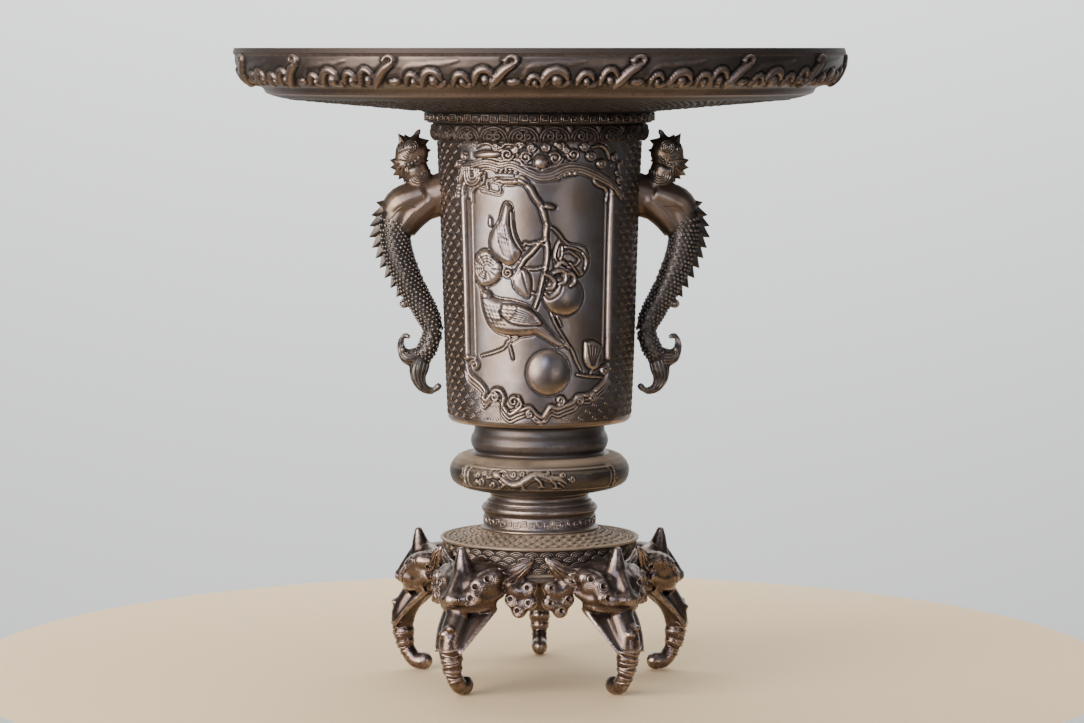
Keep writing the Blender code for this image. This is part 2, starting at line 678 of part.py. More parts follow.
def dish_outer():
    """The dish's outer side, from the lip down to the well's floor."""
    neck = RIM_RADIUS - LIP_PROUD
    flank = [(neck - share * FLANK_SET_IN, FLANK_BOTTOM + height * FLANK_HEIGHT)
             for share, height in ((0.12, 0.76), (0.40, 0.45), (0.90, 0.16))]
    return [
        (RIM_RADIUS - 0.3 * LIP_WIDTH, DISH_TOP),
        (RIM_RADIUS, DISH_TOP - 0.35 * LIP_HEIGHT),
        (neck, LIP_BOTTOM),
        *flank,
        (STEP_RADIUS + STEP_FLARE, FLANK_BOTTOM + STEP_EDGE),
        (STEP_RADIUS, FLANK_BOTTOM),
        (STEP_RADIUS - STEP_EDGE, STEP_BOTTOM),
        (STEP_RADIUS - UNDERSIDE_TURN, STEP_BOTTOM - 0.28 * UNDERSIDE_RISE),
        (COLLAR_RADIUS, UNDERSIDE_BOTTOM),
        (COLLAR_RADIUS, COLLAR_BOTTOM),
        (WELL_RADIUS, COLLAR_BOTTOM),
        (WELL_RADIUS, WELL_BOTTOM),
        (0.0, WELL_BOTTOM),
    ]


def dish_inner():
    """The inside of the well and the pan, from the well's floor up to the lip."""
    well = WELL_RADIUS - WELL_WALL
    pan_floor = UNDERSIDE_BOTTOM + PAN_WALL
    neck = RIM_RADIUS - LIP_PROUD
    return [
        (0.0, WELL_BOTTOM + PAN_WALL),
        (well, WELL_BOTTOM + PAN_WALL),
        (well, pan_floor),
        (STEP_RADIUS - UNDERSIDE_TURN, STEP_BOTTOM - 0.28 * UNDERSIDE_RISE + PAN_WALL),
        (STEP_RADIUS + STEP_FLARE, FLANK_BOTTOM + STEP_EDGE + PAN_WALL),
        (neck - FLANK_SET_IN, FLANK_BOTTOM + 0.16 * FLANK_HEIGHT + 1.1 * PAN_WALL),
        (neck - 1.3 * PAN_WALL, LIP_BOTTOM),
        (RIM_RADIUS - LIP_WIDTH, DISH_TOP - 0.2 * LIP_HEIGHT),
    ]


def wave_crest():
    """One wave on the flank: it leans up to the right and bends back over itself."""
    across, up = CREST_WIDTH, FLANK_HEIGHT
    course = [(-1.5 * across, 0.27 * up), (1.1 * across, 0.70 * up), (0.6 * across, 0.92 * up)]
    points = [(along, FLANK_BOTTOM + rise) for along, rise in course]
    shares = (0.6, 1.0, 0.6)
    return strip(points, [share * CREST_WIDTH for share in shares], [share * CREST_PROUD for share in shares])


def make_dish(metal):
    outer = dish_outer()
    thing = solid("dish", turned(outer + dish_inner(), DISH_SIDES))
    waves = [wrapped(wave_crest(), outer, RIM_RADIUS, FIRST_CREST_TURN + math.tau * index / CREST_COUNT)
             for index in range(CREST_COUNT)]
    combine(thing, waves, "UNION")
    dress(thing, metal)
    return thing


# Handles

def handle_point(reach, drop, side=0.0):
    """A place on the handle: reach from the wall, drop from the top, both shares of its height."""
    return Vector((wall_reach(drop) + reach * HANDLE_HEIGHT, side * HANDLE_HEIGHT,
                   HANDLE_TOP - drop * HANDLE_HEIGHT))


def wall_reach(drop):
    """The cylinder's radius at a drop below the handle's top."""
    return CYLINDER_FOOT_RADIUS + TAPER * (HANDLE_TOP - drop * HANDLE_HEIGHT - CYLINDER_BOTTOM)


def handle_tube(course, flat=1.0):
    """A tube through (reach, drop, radius) shares in the handle's own plane."""
    return tube([handle_point(reach, drop) for reach, drop, _ in course],
                [radius * HANDLE_HEIGHT for *_, radius in course], sides=10, flat=flat)


def back_spines(course, count, length):
    """Spines that stand out from the back of a curved course, evenly spaced."""
    spines = []
    last = len(course) - 1
    for index in range(count):
        place = 0.2 + (last - 0.3) * index / (count - 1)
        start = min(int(place), last - 1)
        share = place - start
        here = handle_point(*course[start][:2]).lerp(handle_point(*course[start + 1][:2]), share)
        along = (handle_point(*course[start + 1][:2]) - handle_point(*course[start][:2])).normalized()
        radius = HANDLE_HEIGHT * (course[start][2] * (1.0 - share) + course[start + 1][2] * share)
        outward = Vector((-along.z, 0.0, along.x))
        tip = here + outward * (radius + length) - along * (0.35 * length)
        spines.append(spike(here + outward * (0.6 * radius), tip, 0.62 * length, flat=0.5))
    return spines


def dragon_fish():
    """The right-hand handle's parts: sleeve, body, fins, neck, head, mane and crest."""
    tall = HANDLE_HEIGHT
    sleeve = handle_tube(((-0.03, 0.235, 0.084), (0.08, 0.275, 0.078), (0.155, 0.325, 0.073)), flat=0.72)
    course = ((0.134, 0.288, 0.058), (0.172, 0.347, 0.059), (0.174, 0.405, 0.058), (0.164, 0.471, 0.057),
              (0.143, 0.536, 0.054), (0.118, 0.595, 0.050), (0.090, 0.650, 0.046), (0.060, 0.708, 0.043),
              (0.042, 0.763, 0.038))
    body = handle_tube(course)
    tail = handle_tube(((0.042, 0.760, 0.037), (0.062, 0.815, 0.035), (0.102, 0.865, 0.034),
                        (0.117, 0.915, 0.028), (0.098, 0.960, 0.022), (0.062, 0.985, 0.014),
                        (0.034, 0.962, 0.008)))
    hook = handle_tube(((0.102, 0.860, 0.032), (0.152, 0.852, 0.024), (0.178, 0.818, 0.017),
                        (0.166, 0.776, 0.012), (0.148, 0.768, 0.008)))
    knot = ball(handle_point(0.150, 0.828), [0.019 * tall] * 3)
    neck = handle_tube(((0.095, 0.140, 0.056), (0.078, 0.185, 0.052), (0.068, 0.240, 0.052)))
    head = ball(handle_point(0.104, 0.102), (0.068 * tall, 0.055 * tall, 0.066 * tall))
    snout = handle_tube(((0.104, 0.075, 0.050), (0.090, 0.036, 0.034), (0.080, 0.014, 0.020)))
    knob = ball(handle_point(0.079, 0.010), [0.016 * tall] * 3)
    eyes = [ball(handle_point(0.100, 0.062, side * 0.048), [0.024 * tall] * 3) for side in (-1.0, 1.0)]
    crest = spike(handle_point(0.120, 0.055), handle_point(0.150, 0.010), 0.022 * tall, flat=0.6)
    whiskers = [spike(handle_point(0.075, drop + 0.012), handle_point(reach, drop), 0.020 * tall, flat=0.6)
                for reach, drop in ((0.031, 0.038), (0.024, 0.074))]
    mane = []
    for index in range(MANE_SPIKES):
        angle = math.radians(12.0 - 20.0 * index)
        ahead = Vector((math.cos(angle), -math.sin(angle)))
        foot = Vector(MANE_CENTRE) + ahead * MANE_INNER
        tip = Vector(MANE_CENTRE) + ahead * MANE_OUTER
        mane.append(spike(handle_point(*foot), handle_point(*tip), 0.024 * tall, flat=1.6))
    return [sleeve, body, tail, hook, knot, neck, head, snout, knob, *eyes, crest, *whiskers, *mane,
            *back_spines(course, 12, 0.044 * tall)]


def wall_room():
    """The room that the body needs, with the clearance, for cutting the handles."""
    outer = [(radius + CLEARANCE, height) for radius, height in body_outer()[:5]]
    return turned([(0.0, BODY_TOP + CLEARANCE), (CLOUD_BAND_RADIUS + CLEARANCE, BODY_TOP + CLEARANCE),
                   *outer, (0.0, CYLINDER_BOTTOM - CLEARANCE)], BODY_SIDES)


def make_handles(metal):
    right = melted("handle_right", dragon_fish(), voxel=0.0010, triangles=HANDLE_TRIANGLES)
    combine(right, [solid("wall room", wall_room())], "DIFFERENCE")
    mirrored = bmesh.new()
    mirrored.from_mesh(right.data)
    bmesh.ops.scale(mirrored, verts=mirrored.verts, vec=(-1.0, 1.0, 1.0))
    left = solid("handle_left", mirrored)
    for thing in (left, right):
        dress(thing, metal, math.radians(50.0))


def main():
    clear_scene()
    brown = bronze("brown patinated bronze", (0.085, 0.055, 0.042), 0.42)
    dark = bronze("dark patinated bronze", (0.060, 0.046, 0.040), 0.45)
    dusty = bronze("dusty bronze", (0.120, 0.090, 0.062), 0.60)
    grey = bronze("grey bronze", (0.095, 0.090, 0.092), 0.45)
    make_stand(dusty)
    make_legs(dark)
    make_body(brown)
    make_dish(dark)
    make_handles(grey)


main()
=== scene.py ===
# %% [markdown]
# A bronze usubata is a flower vessel for a formal arrangement: a wide water dish on a tall body, which
# stands on a drum with elephant head feet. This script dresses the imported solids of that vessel.
# It makes the fine relief, the free forms and the patina, one piece after another, and rides each
# piece on the frame. Lengths are in millimetres until they go into a mesh, which is in metres.

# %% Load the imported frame
import math

import bmesh
import bpy
import numpy as np
from mathutils import Matrix, Vector
from mathutils.bvhtree import BVHTree


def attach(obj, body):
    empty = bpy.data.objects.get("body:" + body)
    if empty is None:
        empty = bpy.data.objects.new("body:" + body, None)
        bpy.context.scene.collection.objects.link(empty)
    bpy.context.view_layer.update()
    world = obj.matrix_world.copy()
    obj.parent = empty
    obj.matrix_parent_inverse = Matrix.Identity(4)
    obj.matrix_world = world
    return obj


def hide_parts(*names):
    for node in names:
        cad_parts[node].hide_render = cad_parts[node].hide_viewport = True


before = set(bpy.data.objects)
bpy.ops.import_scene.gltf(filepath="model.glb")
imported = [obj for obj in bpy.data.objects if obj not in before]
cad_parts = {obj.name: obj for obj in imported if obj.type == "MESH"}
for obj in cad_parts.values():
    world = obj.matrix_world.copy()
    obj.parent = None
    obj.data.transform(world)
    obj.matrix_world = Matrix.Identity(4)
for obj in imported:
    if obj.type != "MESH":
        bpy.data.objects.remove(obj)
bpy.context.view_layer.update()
MM = 0.001
print("nodes:", sorted(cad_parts))

# %% [markdown]
# The camera stands a long way off and level with the dish's rim, and looks down a little. Its focal
# length is given in the photograph's own pixels, because that is how it was measured.

# %% Camera
PHOTO_WIDTH = 1084
FOCAL_PIXELS = 3500.0
CAMERA_PLACE = (0.0, -1.824, 0.330)
CAMERA_DOWN = math.radians(5.118)
CAMERA_YAW = math.radians(-0.041)

camera_data = bpy.data.cameras.new("camera")
camera_data.lens = camera_data.sensor_width * FOCAL_PIXELS / PHOTO_WIDTH
camera = bpy.data.objects.new("camera", camera_data)
camera.location = CAMERA_PLACE
camera.rotation_euler = (math.pi / 2.0 - CAMERA_DOWN, 0.0, CAMERA_YAW)
bpy.context.scene.collection.objects.link(camera)
bpy.context.scene.camera = camera
print("lens", round(camera_data.lens, 1), "mm")

# %% [markdown]
# Colours are written as on a screen, in hex, and one function turns them to the linear values that
# Blender mixes. One more function adds a node with its settings and its links, so a material reads as
# a short list of nodes.

# %% Colour and node helpers


def linear(code):
    """Linear red, green, blue and alpha of an sRGB hex colour."""
    parts = [int(code[i:i + 2], 16) / 255.0 for i in (1, 3, 5)]
    return [p / 12.92 if p <= 0.04045 else ((p + 0.055) / 1.055) ** 2.4 for p in parts] + [1.0]


def add(tree, kind, inputs=None, **settings):
    """A node of a kind, with its settings, and with values or links for its inputs."""
    made = tree.nodes.new(kind)
    for name, value in settings.items():
        setattr(made, name, value)
    for key, value in (inputs or {}).items():
        if isinstance(value, bpy.types.NodeSocket):
            tree.links.new(value, made.inputs[key])
        else:
            made.inputs[key].default_value = value
    return made


print("brown bronze in linear light:", [round(v, 3) for v in linear("#6B5246")])

# %% [markdown]
# Patinated bronze is a tin bronze coloured with heat and chemicals, then waxed and rubbed for a
# century. The metal stays a mirror under a thin brown skin, so the shader is metallic and fairly
# smooth. Handling rubs the skin off what stands proud, which shows as warmer, brighter metal, while
# wax and dust gather in the hollows, which are also painted darker as shade. Every mesh below carries
# two point attributes for that, one for wear and one for grime with painted shade, and every finish
# reads them in the same way with its own colours.

# %% The patina


def patinated_bronze(name, skin, mottle, rubbed, hollow, dust, dust_amount, roughness, held=None):
    """A cast tin bronze with a chemical patina, waxed: satin, darker in hollows, rubbed on top.

    Where hands have held it, the skin is a warm brown: held is that colour with its middle and reach.
    """
    material = bpy.data.materials.new(name)
    material.use_nodes = True
    tree = material.node_tree
    shader = tree.nodes["Principled BSDF"]
    place = add(tree, "ShaderNodeTexCoord").outputs["Object"]

    def noise(scale, detail):
        inputs = {"Vector": place, "Scale": scale, "Detail": detail}
        return add(tree, "ShaderNodeTexNoise", inputs).outputs["Fac"]

    def ramp(value, low, high, least=0.0, most=1.0):
        return add(tree, "ShaderNodeMapRange", {"Value": value, "From Min": low, "From Max": high,
                                                "To Min": least, "To Max": most}).outputs["Result"]

    def maths(operation, one, other=0.0):
        return add(tree, "ShaderNodeMath", {0: one, 1: other}, operation=operation).outputs["Value"]

    def under(share, below, code):
        return add(tree, "ShaderNodeMix", {"Factor": share, "A": below, "B": linear(code)},
                   data_type="RGBA").outputs["Result"]

    # Clouds of patina about 18 mm across, a mottling of 2 mm, and a casting skin with grains of 0.6 mm
    clouds, specks, grains = noise(55.0, 4.0), noise(480.0, 3.0), noise(1600.0, 2.0)
    colour = under(ramp(clouds, 0.38, 0.66), linear(skin), mottle)
    if held:
        warm, middle, reach = held
        parts = add(tree, "ShaderNodeSeparateXYZ", {"Vector": place}).outputs
        folded = add(tree, "ShaderNodeCombineXYZ", {"X": maths("ABSOLUTE", parts["X"]), "Z": parts["Z"]})
        away = add(tree, "ShaderNodeVectorMath", {0: folded.outputs["Vector"], 1: middle},
                   operation="DISTANCE")
        colour = under(ramp(away.outputs["Value"], reach, 0.6 * reach), colour, warm)
    worn, grime_and_shade = (add(tree, "ShaderNodeAttribute", attribute_name=key).outputs["Fac"]
                   for key in ("worn", "grime_and_shade"))
    # Rubbing is broken up by the specks, so that no edge is evenly bright
    colour = under(ramp(maths("MULTIPLY", worn, specks), 0.12, 0.42), colour, rubbed)
    # Hollows get the near-black colour: wax and dust, with painted shade where shade falls in them
    colour = under(grime_and_shade, colour, hollow)
    # Dust lies on what faces up, thinner here and there
    normal = add(tree, "ShaderNodeNewGeometry").outputs["Normal"]
    up = add(tree, "ShaderNodeSeparateXYZ", {"Vector": normal}).outputs["Z"]
    laid = maths("MULTIPLY", ramp(up, 0.25, 0.95, 0.0, dust_amount), ramp(clouds, 0.3, 0.55, 0.55))
    tree.links.new(under(laid, colour, dust), shader.inputs["Base Color"])
    # Dust, and grime with painted shade, are matt and no metal, rubbed metal is the smoothest
    matt = maths("MAXIMUM", maths("MULTIPLY", grime_and_shade, 0.45), laid)
    tree.links.new(ramp(matt, 0.0, 1.0, 1.0, 0.25), shader.inputs["Metallic"])
    coarse = ramp(specks, 0.0, 1.0, roughness - 0.07, roughness + 0.09)
    tree.links.new(maths("ADD", coarse, ramp(matt, 0.0, 1.0, 0.0, 0.34)), shader.inputs["Roughness"])
    # Chased and scraped by hand, the surface waves a little. Its grains are as deep as a hair is thick
    waver = add(tree, "ShaderNodeBump", {"Height": clouds, "Strength": 0.6, "Distance": 0.0005})
    pits = add(tree, "ShaderNodeBump", {"Height": grains, "Strength": 0.35, "Distance": 0.00012,
                                        "Normal": waver.outputs["Normal"]})
    tree.links.new(pits.outputs["Normal"], shader.inputs["Normal"])
    return material


# Each finish gives its skin, mottle, rubbed, hollow and dust colours, then its dust amount and roughness. The
# near-black hollow colour paints grime together with shade in the hollows
BROWN = patinated_bronze("brown patinated bronze, waxed", "#6B5F57", "#767070", "#9E8D83", "#1B1816",
                         "#94836E", 0.40, 0.34)
DARK = patinated_bronze("dark patinated bronze, waxed", "#574E48", "#665B54", "#837269", "#131110", "#7D6E5E",
                        0.30, 0.42)
FEET = patinated_bronze("dark patinated bronze, handled", "#554843", "#63554E", "#A18F87", "#0F0D0C",
                        "#74685B", 0.22, 0.26)
DUSTY = patinated_bronze("patinated bronze under dust", "#4D4641", "#5F564F", "#8E7F74", "#151211", "#AC967C",
                         0.90, 0.44)
GREY = patinated_bronze("grey patinated bronze", "#3E3C3B", "#4B4643", "#7D756F", "#0C0C0C", "#5C564F",
                        0.25, 0.38, ("#806C5C", (0.060, 0.0, 0.262), 0.031))
print("finishes:", [m.name for m in (BROWN, DARK, FEET, DUSTY, GREY)])

# %% [markdown]
# A round pale floor before a pale wall, and soft lights: a large warm window at the left, which draws the
# long highlights down the body and leaves its right side dark, a small cool one in front, whose
# reflection lies down the middle of the panel, two low ones for the feet, the faint light of the room at
# the right, one from above, and a wash on the wall.

# %% Floor, wall and lights


def into_scene(name, data):
    """An object of some data, in the scene."""
    thing = bpy.data.objects.new(name, data)
    bpy.context.scene.collection.objects.link(thing)
    return thing


def board(name, corners, colour):
    """A flat board that belongs to the studio, painted matt."""
    material = bpy.data.materials.new(f"{name}, painted matt")
    material.use_nodes = True
    shader = material.node_tree.nodes["Principled BSDF"]
    shader.inputs["Base Color"].default_value = linear(colour)
    shader.inputs["Roughness"].default_value = 0.9
    mesh = bpy.data.meshes.new(name)
    mesh.from_pydata(corners, [], [tuple(range(len(corners)))])
    mesh.materials.append(material)
    into_scene(name, mesh)


def soft_light(name, place, aim, width, height, watts, colour):
    """An area light at a place, turned to face a point."""
    data = bpy.data.lights.new(name, "AREA")
    data.shape = "RECTANGLE"
    data.size, data.size_y = width, height
    data.energy = watts
    data.color = linear(colour)[:3]
    lamp = into_scene(name, data)
    lamp.location = place
    lamp.rotation_euler = (Vector(aim) - Vector(place)).to_track_quat("-Z", "Y").to_euler()


FLOOR_REACH = 0.31
FLOOR_CENTRE = 0.0455
WALL_BACK = 2.4
floor_edge = [(FLOOR_REACH * math.cos(a), FLOOR_CENTRE + FLOOR_REACH * math.sin(a), 0.0)
              for a in np.linspace(0.0, math.tau, 180, endpoint=False)]
board("pale_floor", floor_edge, "#EBCFA3")
board("pale_wall", [(x, WALL_BACK, z) for x, z in ((-3.0, -1.5), (3.0, -1.5), (3.0, 2.6), (-3.0, 2.6))],
      "#E9ECEC")
# Each light's place, the point that it faces, its width and height, its watts and its colour
for name, *light in (
        ("left_window", (-1.20, -0.95, 0.45), (0.0, 0.0, 0.17), 1.10, 1.40, 43.0, "#FFF6EE"),
        ("front_window", (-0.42, -1.95, 0.78), (0.0, 0.0, 0.15), 0.60, 0.80, 14.0, "#CBDAFF"),
        ("low_window", (-0.80, -1.20, 0.20), (-0.03, 0.0, 0.12), 0.50, 0.40, 10.0, "#FFF3E8"),
        ("low_right", (0.42, -0.80, 0.045), (0.03, 0.0, 0.03), 0.25, 0.07, 0.7, "#FFF6F0"),
        ("right_room", (1.60, -1.60, 0.70), (0.0, 0.0, 0.18), 1.20, 1.20, 3.5, "#E6ECF4"),
        ("ceiling", (0.0, 0.1, 1.90), (0.0, 0.0, 0.0), 2.2, 2.2, 28.0, "#FFFFFF"),
        ("wall_wash", (0.0, 1.3, 1.60), (0.0, WALL_BACK, 0.2), 2.8, 0.5, 80.0, "#FFFFFF")):
    soft_light(name, *light)

world = bpy.data.worlds.new("grey room")
world.use_nodes = True
background = world.node_tree.nodes["Background"]
background.inputs["Color"].default_value = linear("#C9CCCF")
background.inputs["Strength"].default_value = 0.30
bpy.context.scene.world = world
print("lights:", [lamp.name for lamp in bpy.data.lights])

# %% [markdown]
# Everything round is turned from one profile: a list of radius and height, measured from the
# photograph, top to bottom. The profile is sampled evenly along its length, because an even mesh takes
# relief and shading best. A closed skin is a dense front with a coarse back a little way behind it, so
# that each piece is a closed body like a real cast panel, without paying twice for the dense mesh.

# %% Turned profiles


def even_line(points, spacing):
    """Points at an even spacing along a broken line, its two ends kept."""
    points = np.asarray(points, float)
    lengths = np.linalg.norm(np.diff(points, axis=0), axis=1)
    reach = np.concatenate([[0.0], np.cumsum(lengths)])
    steps = max(2, int(round(reach[-1] / spacing)) + 1)
    wanted = np.linspace(0.0, reach[-1], steps)
    return np.stack([np.interp(wanted, reach, column) for column in points.T], axis=1)


def smooth_line(points, steps=6):
    """A smooth curve through points, as a broken line with some steps between each two."""
    points = np.asarray(points, float)
    padded = np.vstack([2 * points[0] - points[1], points, 2 * points[-1] - points[-2]])
    shares = np.linspace(0.0, 1.0, steps, endpoint=False)[:, None]
    pieces = []
    for a, b, c, d in zip(padded, padded[1:], padded[2:], padded[3:]):
        pieces.append(0.5 * (2 * b + (c - a) * shares + (2 * a - 5 * b + 4 * c - d) * shares ** 2
                             + (3 * b - a - 3 * c + d) * shares ** 3))
    return np.vstack(pieces + [points[-1:]])


def profile_normals(profile):
    """Outward directions, as (radius, height), along a profile that runs top to bottom outside."""
    along = np.gradient(profile, axis=0)
    along /= np.linalg.norm(along, axis=1)[:, None]
    return np.stack([-along[:, 1], along[:, 0]], axis=1)


def turned_grid(profile, turns, relief=0.0):
    """Places in metres of a profile turned to each angle, raised along its normal by a relief."""
    outward = profile_normals(profile)
    radius = profile[:, :1] + outward[:, :1] * relief
    height = profile[:, 1:] + outward[:, 1:] * relief
    radius = np.broadcast_to(radius, (len(profile), len(turns)))
    height = np.broadcast_to(height, (len(profile), len(turns)))
    return np.stack([radius * np.sin(turns), -radius * np.cos(turns), height], axis=2) * MM


print("even line:", len(even_line([(0, 0), (3, 4), (3, 9)], 0.5)), "points")

# %% [markdown]
# Wear follows form: what stands higher than its surroundings is rubbed, and what lies lower gets grime
# and painted shade. On a grid of heights that is the difference between the height and a blurred copy
# of it. On a free mesh it is how far a point stands out from the average of its neighbours, after some rounds
# of that.

# %% Wear and grime
# How far in millimetres a carved place stands out or lies deep when it is fully worn, or fully dark with
# grime and painted shade
FULL_WEAR = 0.28


def wear_of_grid(height, ring, rounds):
    """Worn shares, and shares of grime with painted shade, 0 to 1, for a grid of heights in millimetres."""
    soft = height
    for _ in range(rounds):
        beside = np.pad(soft, ((0, 0), (1, 1)), mode="wrap" if ring else "edge")
        above = np.pad(soft, ((1, 1), (0, 0)), mode="edge")
        soft = (2 * soft + beside[:, :-2] + beside[:, 2:] + above[:-2] + above[2:]) / 6.0
    stands = (height - soft) / FULL_WEAR
    return np.clip(stands, 0.0, 1.0), np.clip(-stands, 0.0, 1.0)


def values_of(layer, key, count, width=3):
    """One value, or a row of them, for each of a mesh's points or edges."""
    values = np.empty(count * width)
    layer.foreach_get(key, values)
    return values.reshape(count, width)


def wear_of_mesh(mesh, rounds, reach):
    """Worn shares, and shares of grime with painted shade, for each point of a free mesh."""
    count = len(mesh.vertices)
    places = values_of(mesh.vertices, "co", count)
    normals = values_of(mesh.vertex_normals, "vector", count)
    ends = np.empty(len(mesh.edges) * 2, int)
    mesh.edges.foreach_get("vertices", ends)
    one, other = ends.reshape(-1, 2).T
    links = np.maximum(np.bincount(ends, minlength=count), 1)[:, None]
    soft = places
    for _ in range(rounds):
        total = np.stack([np.bincount(one, soft[other, axis], count)
                          + np.bincount(other, soft[one, axis], count) for axis in range(3)], axis=1)
        soft = 0.4 * soft + 0.6 * total / links
    stands = np.einsum("ij,ij->i", places - soft, normals) / (reach * MM)
    return np.clip(stands, 0.0, 1.0), np.clip(-stands, 0.0, 1.0)


def weather(thing, worn=None, grime_and_shade=None, rounds=10, reach=0.30):
    """Write the two shares on a piece's mesh, worked out from its form if they aren't given."""
    mesh = thing.data
    if worn is None:
        worn, grime_and_shade = wear_of_mesh(mesh, rounds, reach)
    for name, values in (("worn", worn), ("grime_and_shade", grime_and_shade)):
        layer = mesh.attributes.get(name) or mesh.attributes.new(name, "FLOAT", "POINT")
        padded = np.zeros(len(mesh.vertices), np.float32)
        padded[:values.size] = np.ravel(values)
        layer.data.foreach_set("value", padded)
    return thing


def darken_evenly(thing, share, lowest=-1.0, highest=999.0):
    """Raise the share of grime and painted shade evenly on a piece, or on what of it lies between two heights
    in millimetres, which makes it darker and matt.
    """
    count = len(thing.data.vertices)
    heights = values_of(thing.data.vertices, "co", count)[:, 2]
    layer = thing.data.attributes["grime_and_shade"].data
    darkening = values_of(layer, "value", count, 1)[:, 0]
    inside = (heights > lowest * MM) & (heights < highest * MM)
    darkening[inside] = np.maximum(darkening[inside], share)
    layer.foreach_set("value", darkening.astype(np.float32))


def object_of(name, points=(), faces=()):
    """An object from points in metres and faces, smooth shaded."""
    mesh = bpy.data.meshes.new(name)
    mesh.from_pydata(points, [], faces)
    mesh.shade_smooth()
    return into_scene(name, mesh)


def settle(thing):
    """Make a piece's modifiers part of its mesh."""
    thing.data = bpy.data.meshes.new_from_object(thing.evaluated_get(bpy.context.evaluated_depsgraph_get()))
    thing.modifiers.clear()


def triangles(thing):
    """How many triangles a piece has."""
    thing.data.calc_loop_triangles()
    return len(thing.data.loop_triangles)


def quads(grid):
    """The faces between the rows and columns of a grid of point numbers."""
    return np.stack([grid[:-1, :-1], grid[1:, :-1], grid[1:, 1:], grid[:-1, 1:]], -1).reshape(-1, 4).tolist()


def closed_skin(name, front, back, ring):
    """A closed body from a dense front grid, top row first, and a back with fewer columns behind it."""
    rows, columns = front.shape[:2]
    spans = back.shape[1] if ring else back.shape[1] - 1
    stride = (columns if ring else columns - 1) // spans
    dense = np.arange(rows * columns).reshape(rows, columns)
    coarse = np.arange(rows * back.shape[1]).reshape(rows, -1) + rows * columns
    if ring:
        dense = np.hstack([dense, dense[:, :1]])
        coarse = np.hstack([coarse, coarse[:, :1]])
    faces = quads(dense) + quads(coarse.T)
    for span in range(spans):
        covered = slice(span * stride, (span + 1) * stride + 1)
        faces.append([*dense[0, covered].tolist(), int(coarse[0, span + 1]), int(coarse[0, span])])
        faces.append([*dense[-1, covered][::-1].tolist(), int(coarse[-1, span]), int(coarse[-1, span + 1])])
    if not ring:
        faces += quads(np.stack([dense[:, 0], coarse[:, 0]]))
        faces += quads(np.stack([dense[:, -1], coarse[:, -1]], axis=1))
    return object_of(name, np.vstack([front.reshape(-1, 3), back.reshape(-1, 3)]), faces)


def carved_band(name, profile, turns, ring, relief, spans, behind, rounds=12):
    """A turned band with a relief on it, closed behind, its wear worked out from the relief."""
    stride = (len(turns) if ring else len(turns) - 1) // spans
    back = turned_grid(profile, turns[::stride], -behind)
    thing = closed_skin(name, turned_grid(profile, turns, relief), back, ring)
    return weather(thing, *wear_of_grid(relief, ring, rounds))


def turned_body(name, profile, columns):
    """A closed body turned from a closed profile that runs down outside and up inside."""
    turns = np.linspace(0.0, math.tau, columns, endpoint=False)
    grid = turned_grid(np.asarray(profile, float), turns)
    index = np.arange(len(profile) * columns).reshape(-1, columns)
    index = np.hstack([index, index[:, :1]])
    thing = object_of(name, grid.reshape(-1, 3), quads(np.vstack([index, index[:1]])))
    maker = bmesh.new()
    maker.from_mesh(thing.data)
    bmesh.ops.remove_doubles(maker, verts=maker.verts, dist=1e-6)
    bmesh.ops.recalc_face_normals(maker, faces=maker.faces)
    maker.to_mesh(thing.data)
    maker.free()
    return thing


def dress(thing, material, slot, *nodes, sharp=None):
    """Give a finished piece its metal and its ride, and hide the nodes that it stands for. Its slot is not
    used.
    """
    thing.data.materials.clear()
    thing.data.materials.append(material)
    if sharp:
        thing.data.set_sharp_from_angle(angle=math.radians(sharp))
    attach(thing, "root")
    if nodes:
        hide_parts(*nodes)
    print(thing.name, triangles(thing), "triangles")


# %% [markdown]
# A relief map is the flat drawing of a carved wall: a grid of places with a height at each. A founder's
# wax carver works with few moves, and so does this map: a rounded ridge along a curve, an oval dome, a
# pillowed form inside an outline, an engraved line and a ribbon of parallel ridges. Each is one method.

# %% The relief map


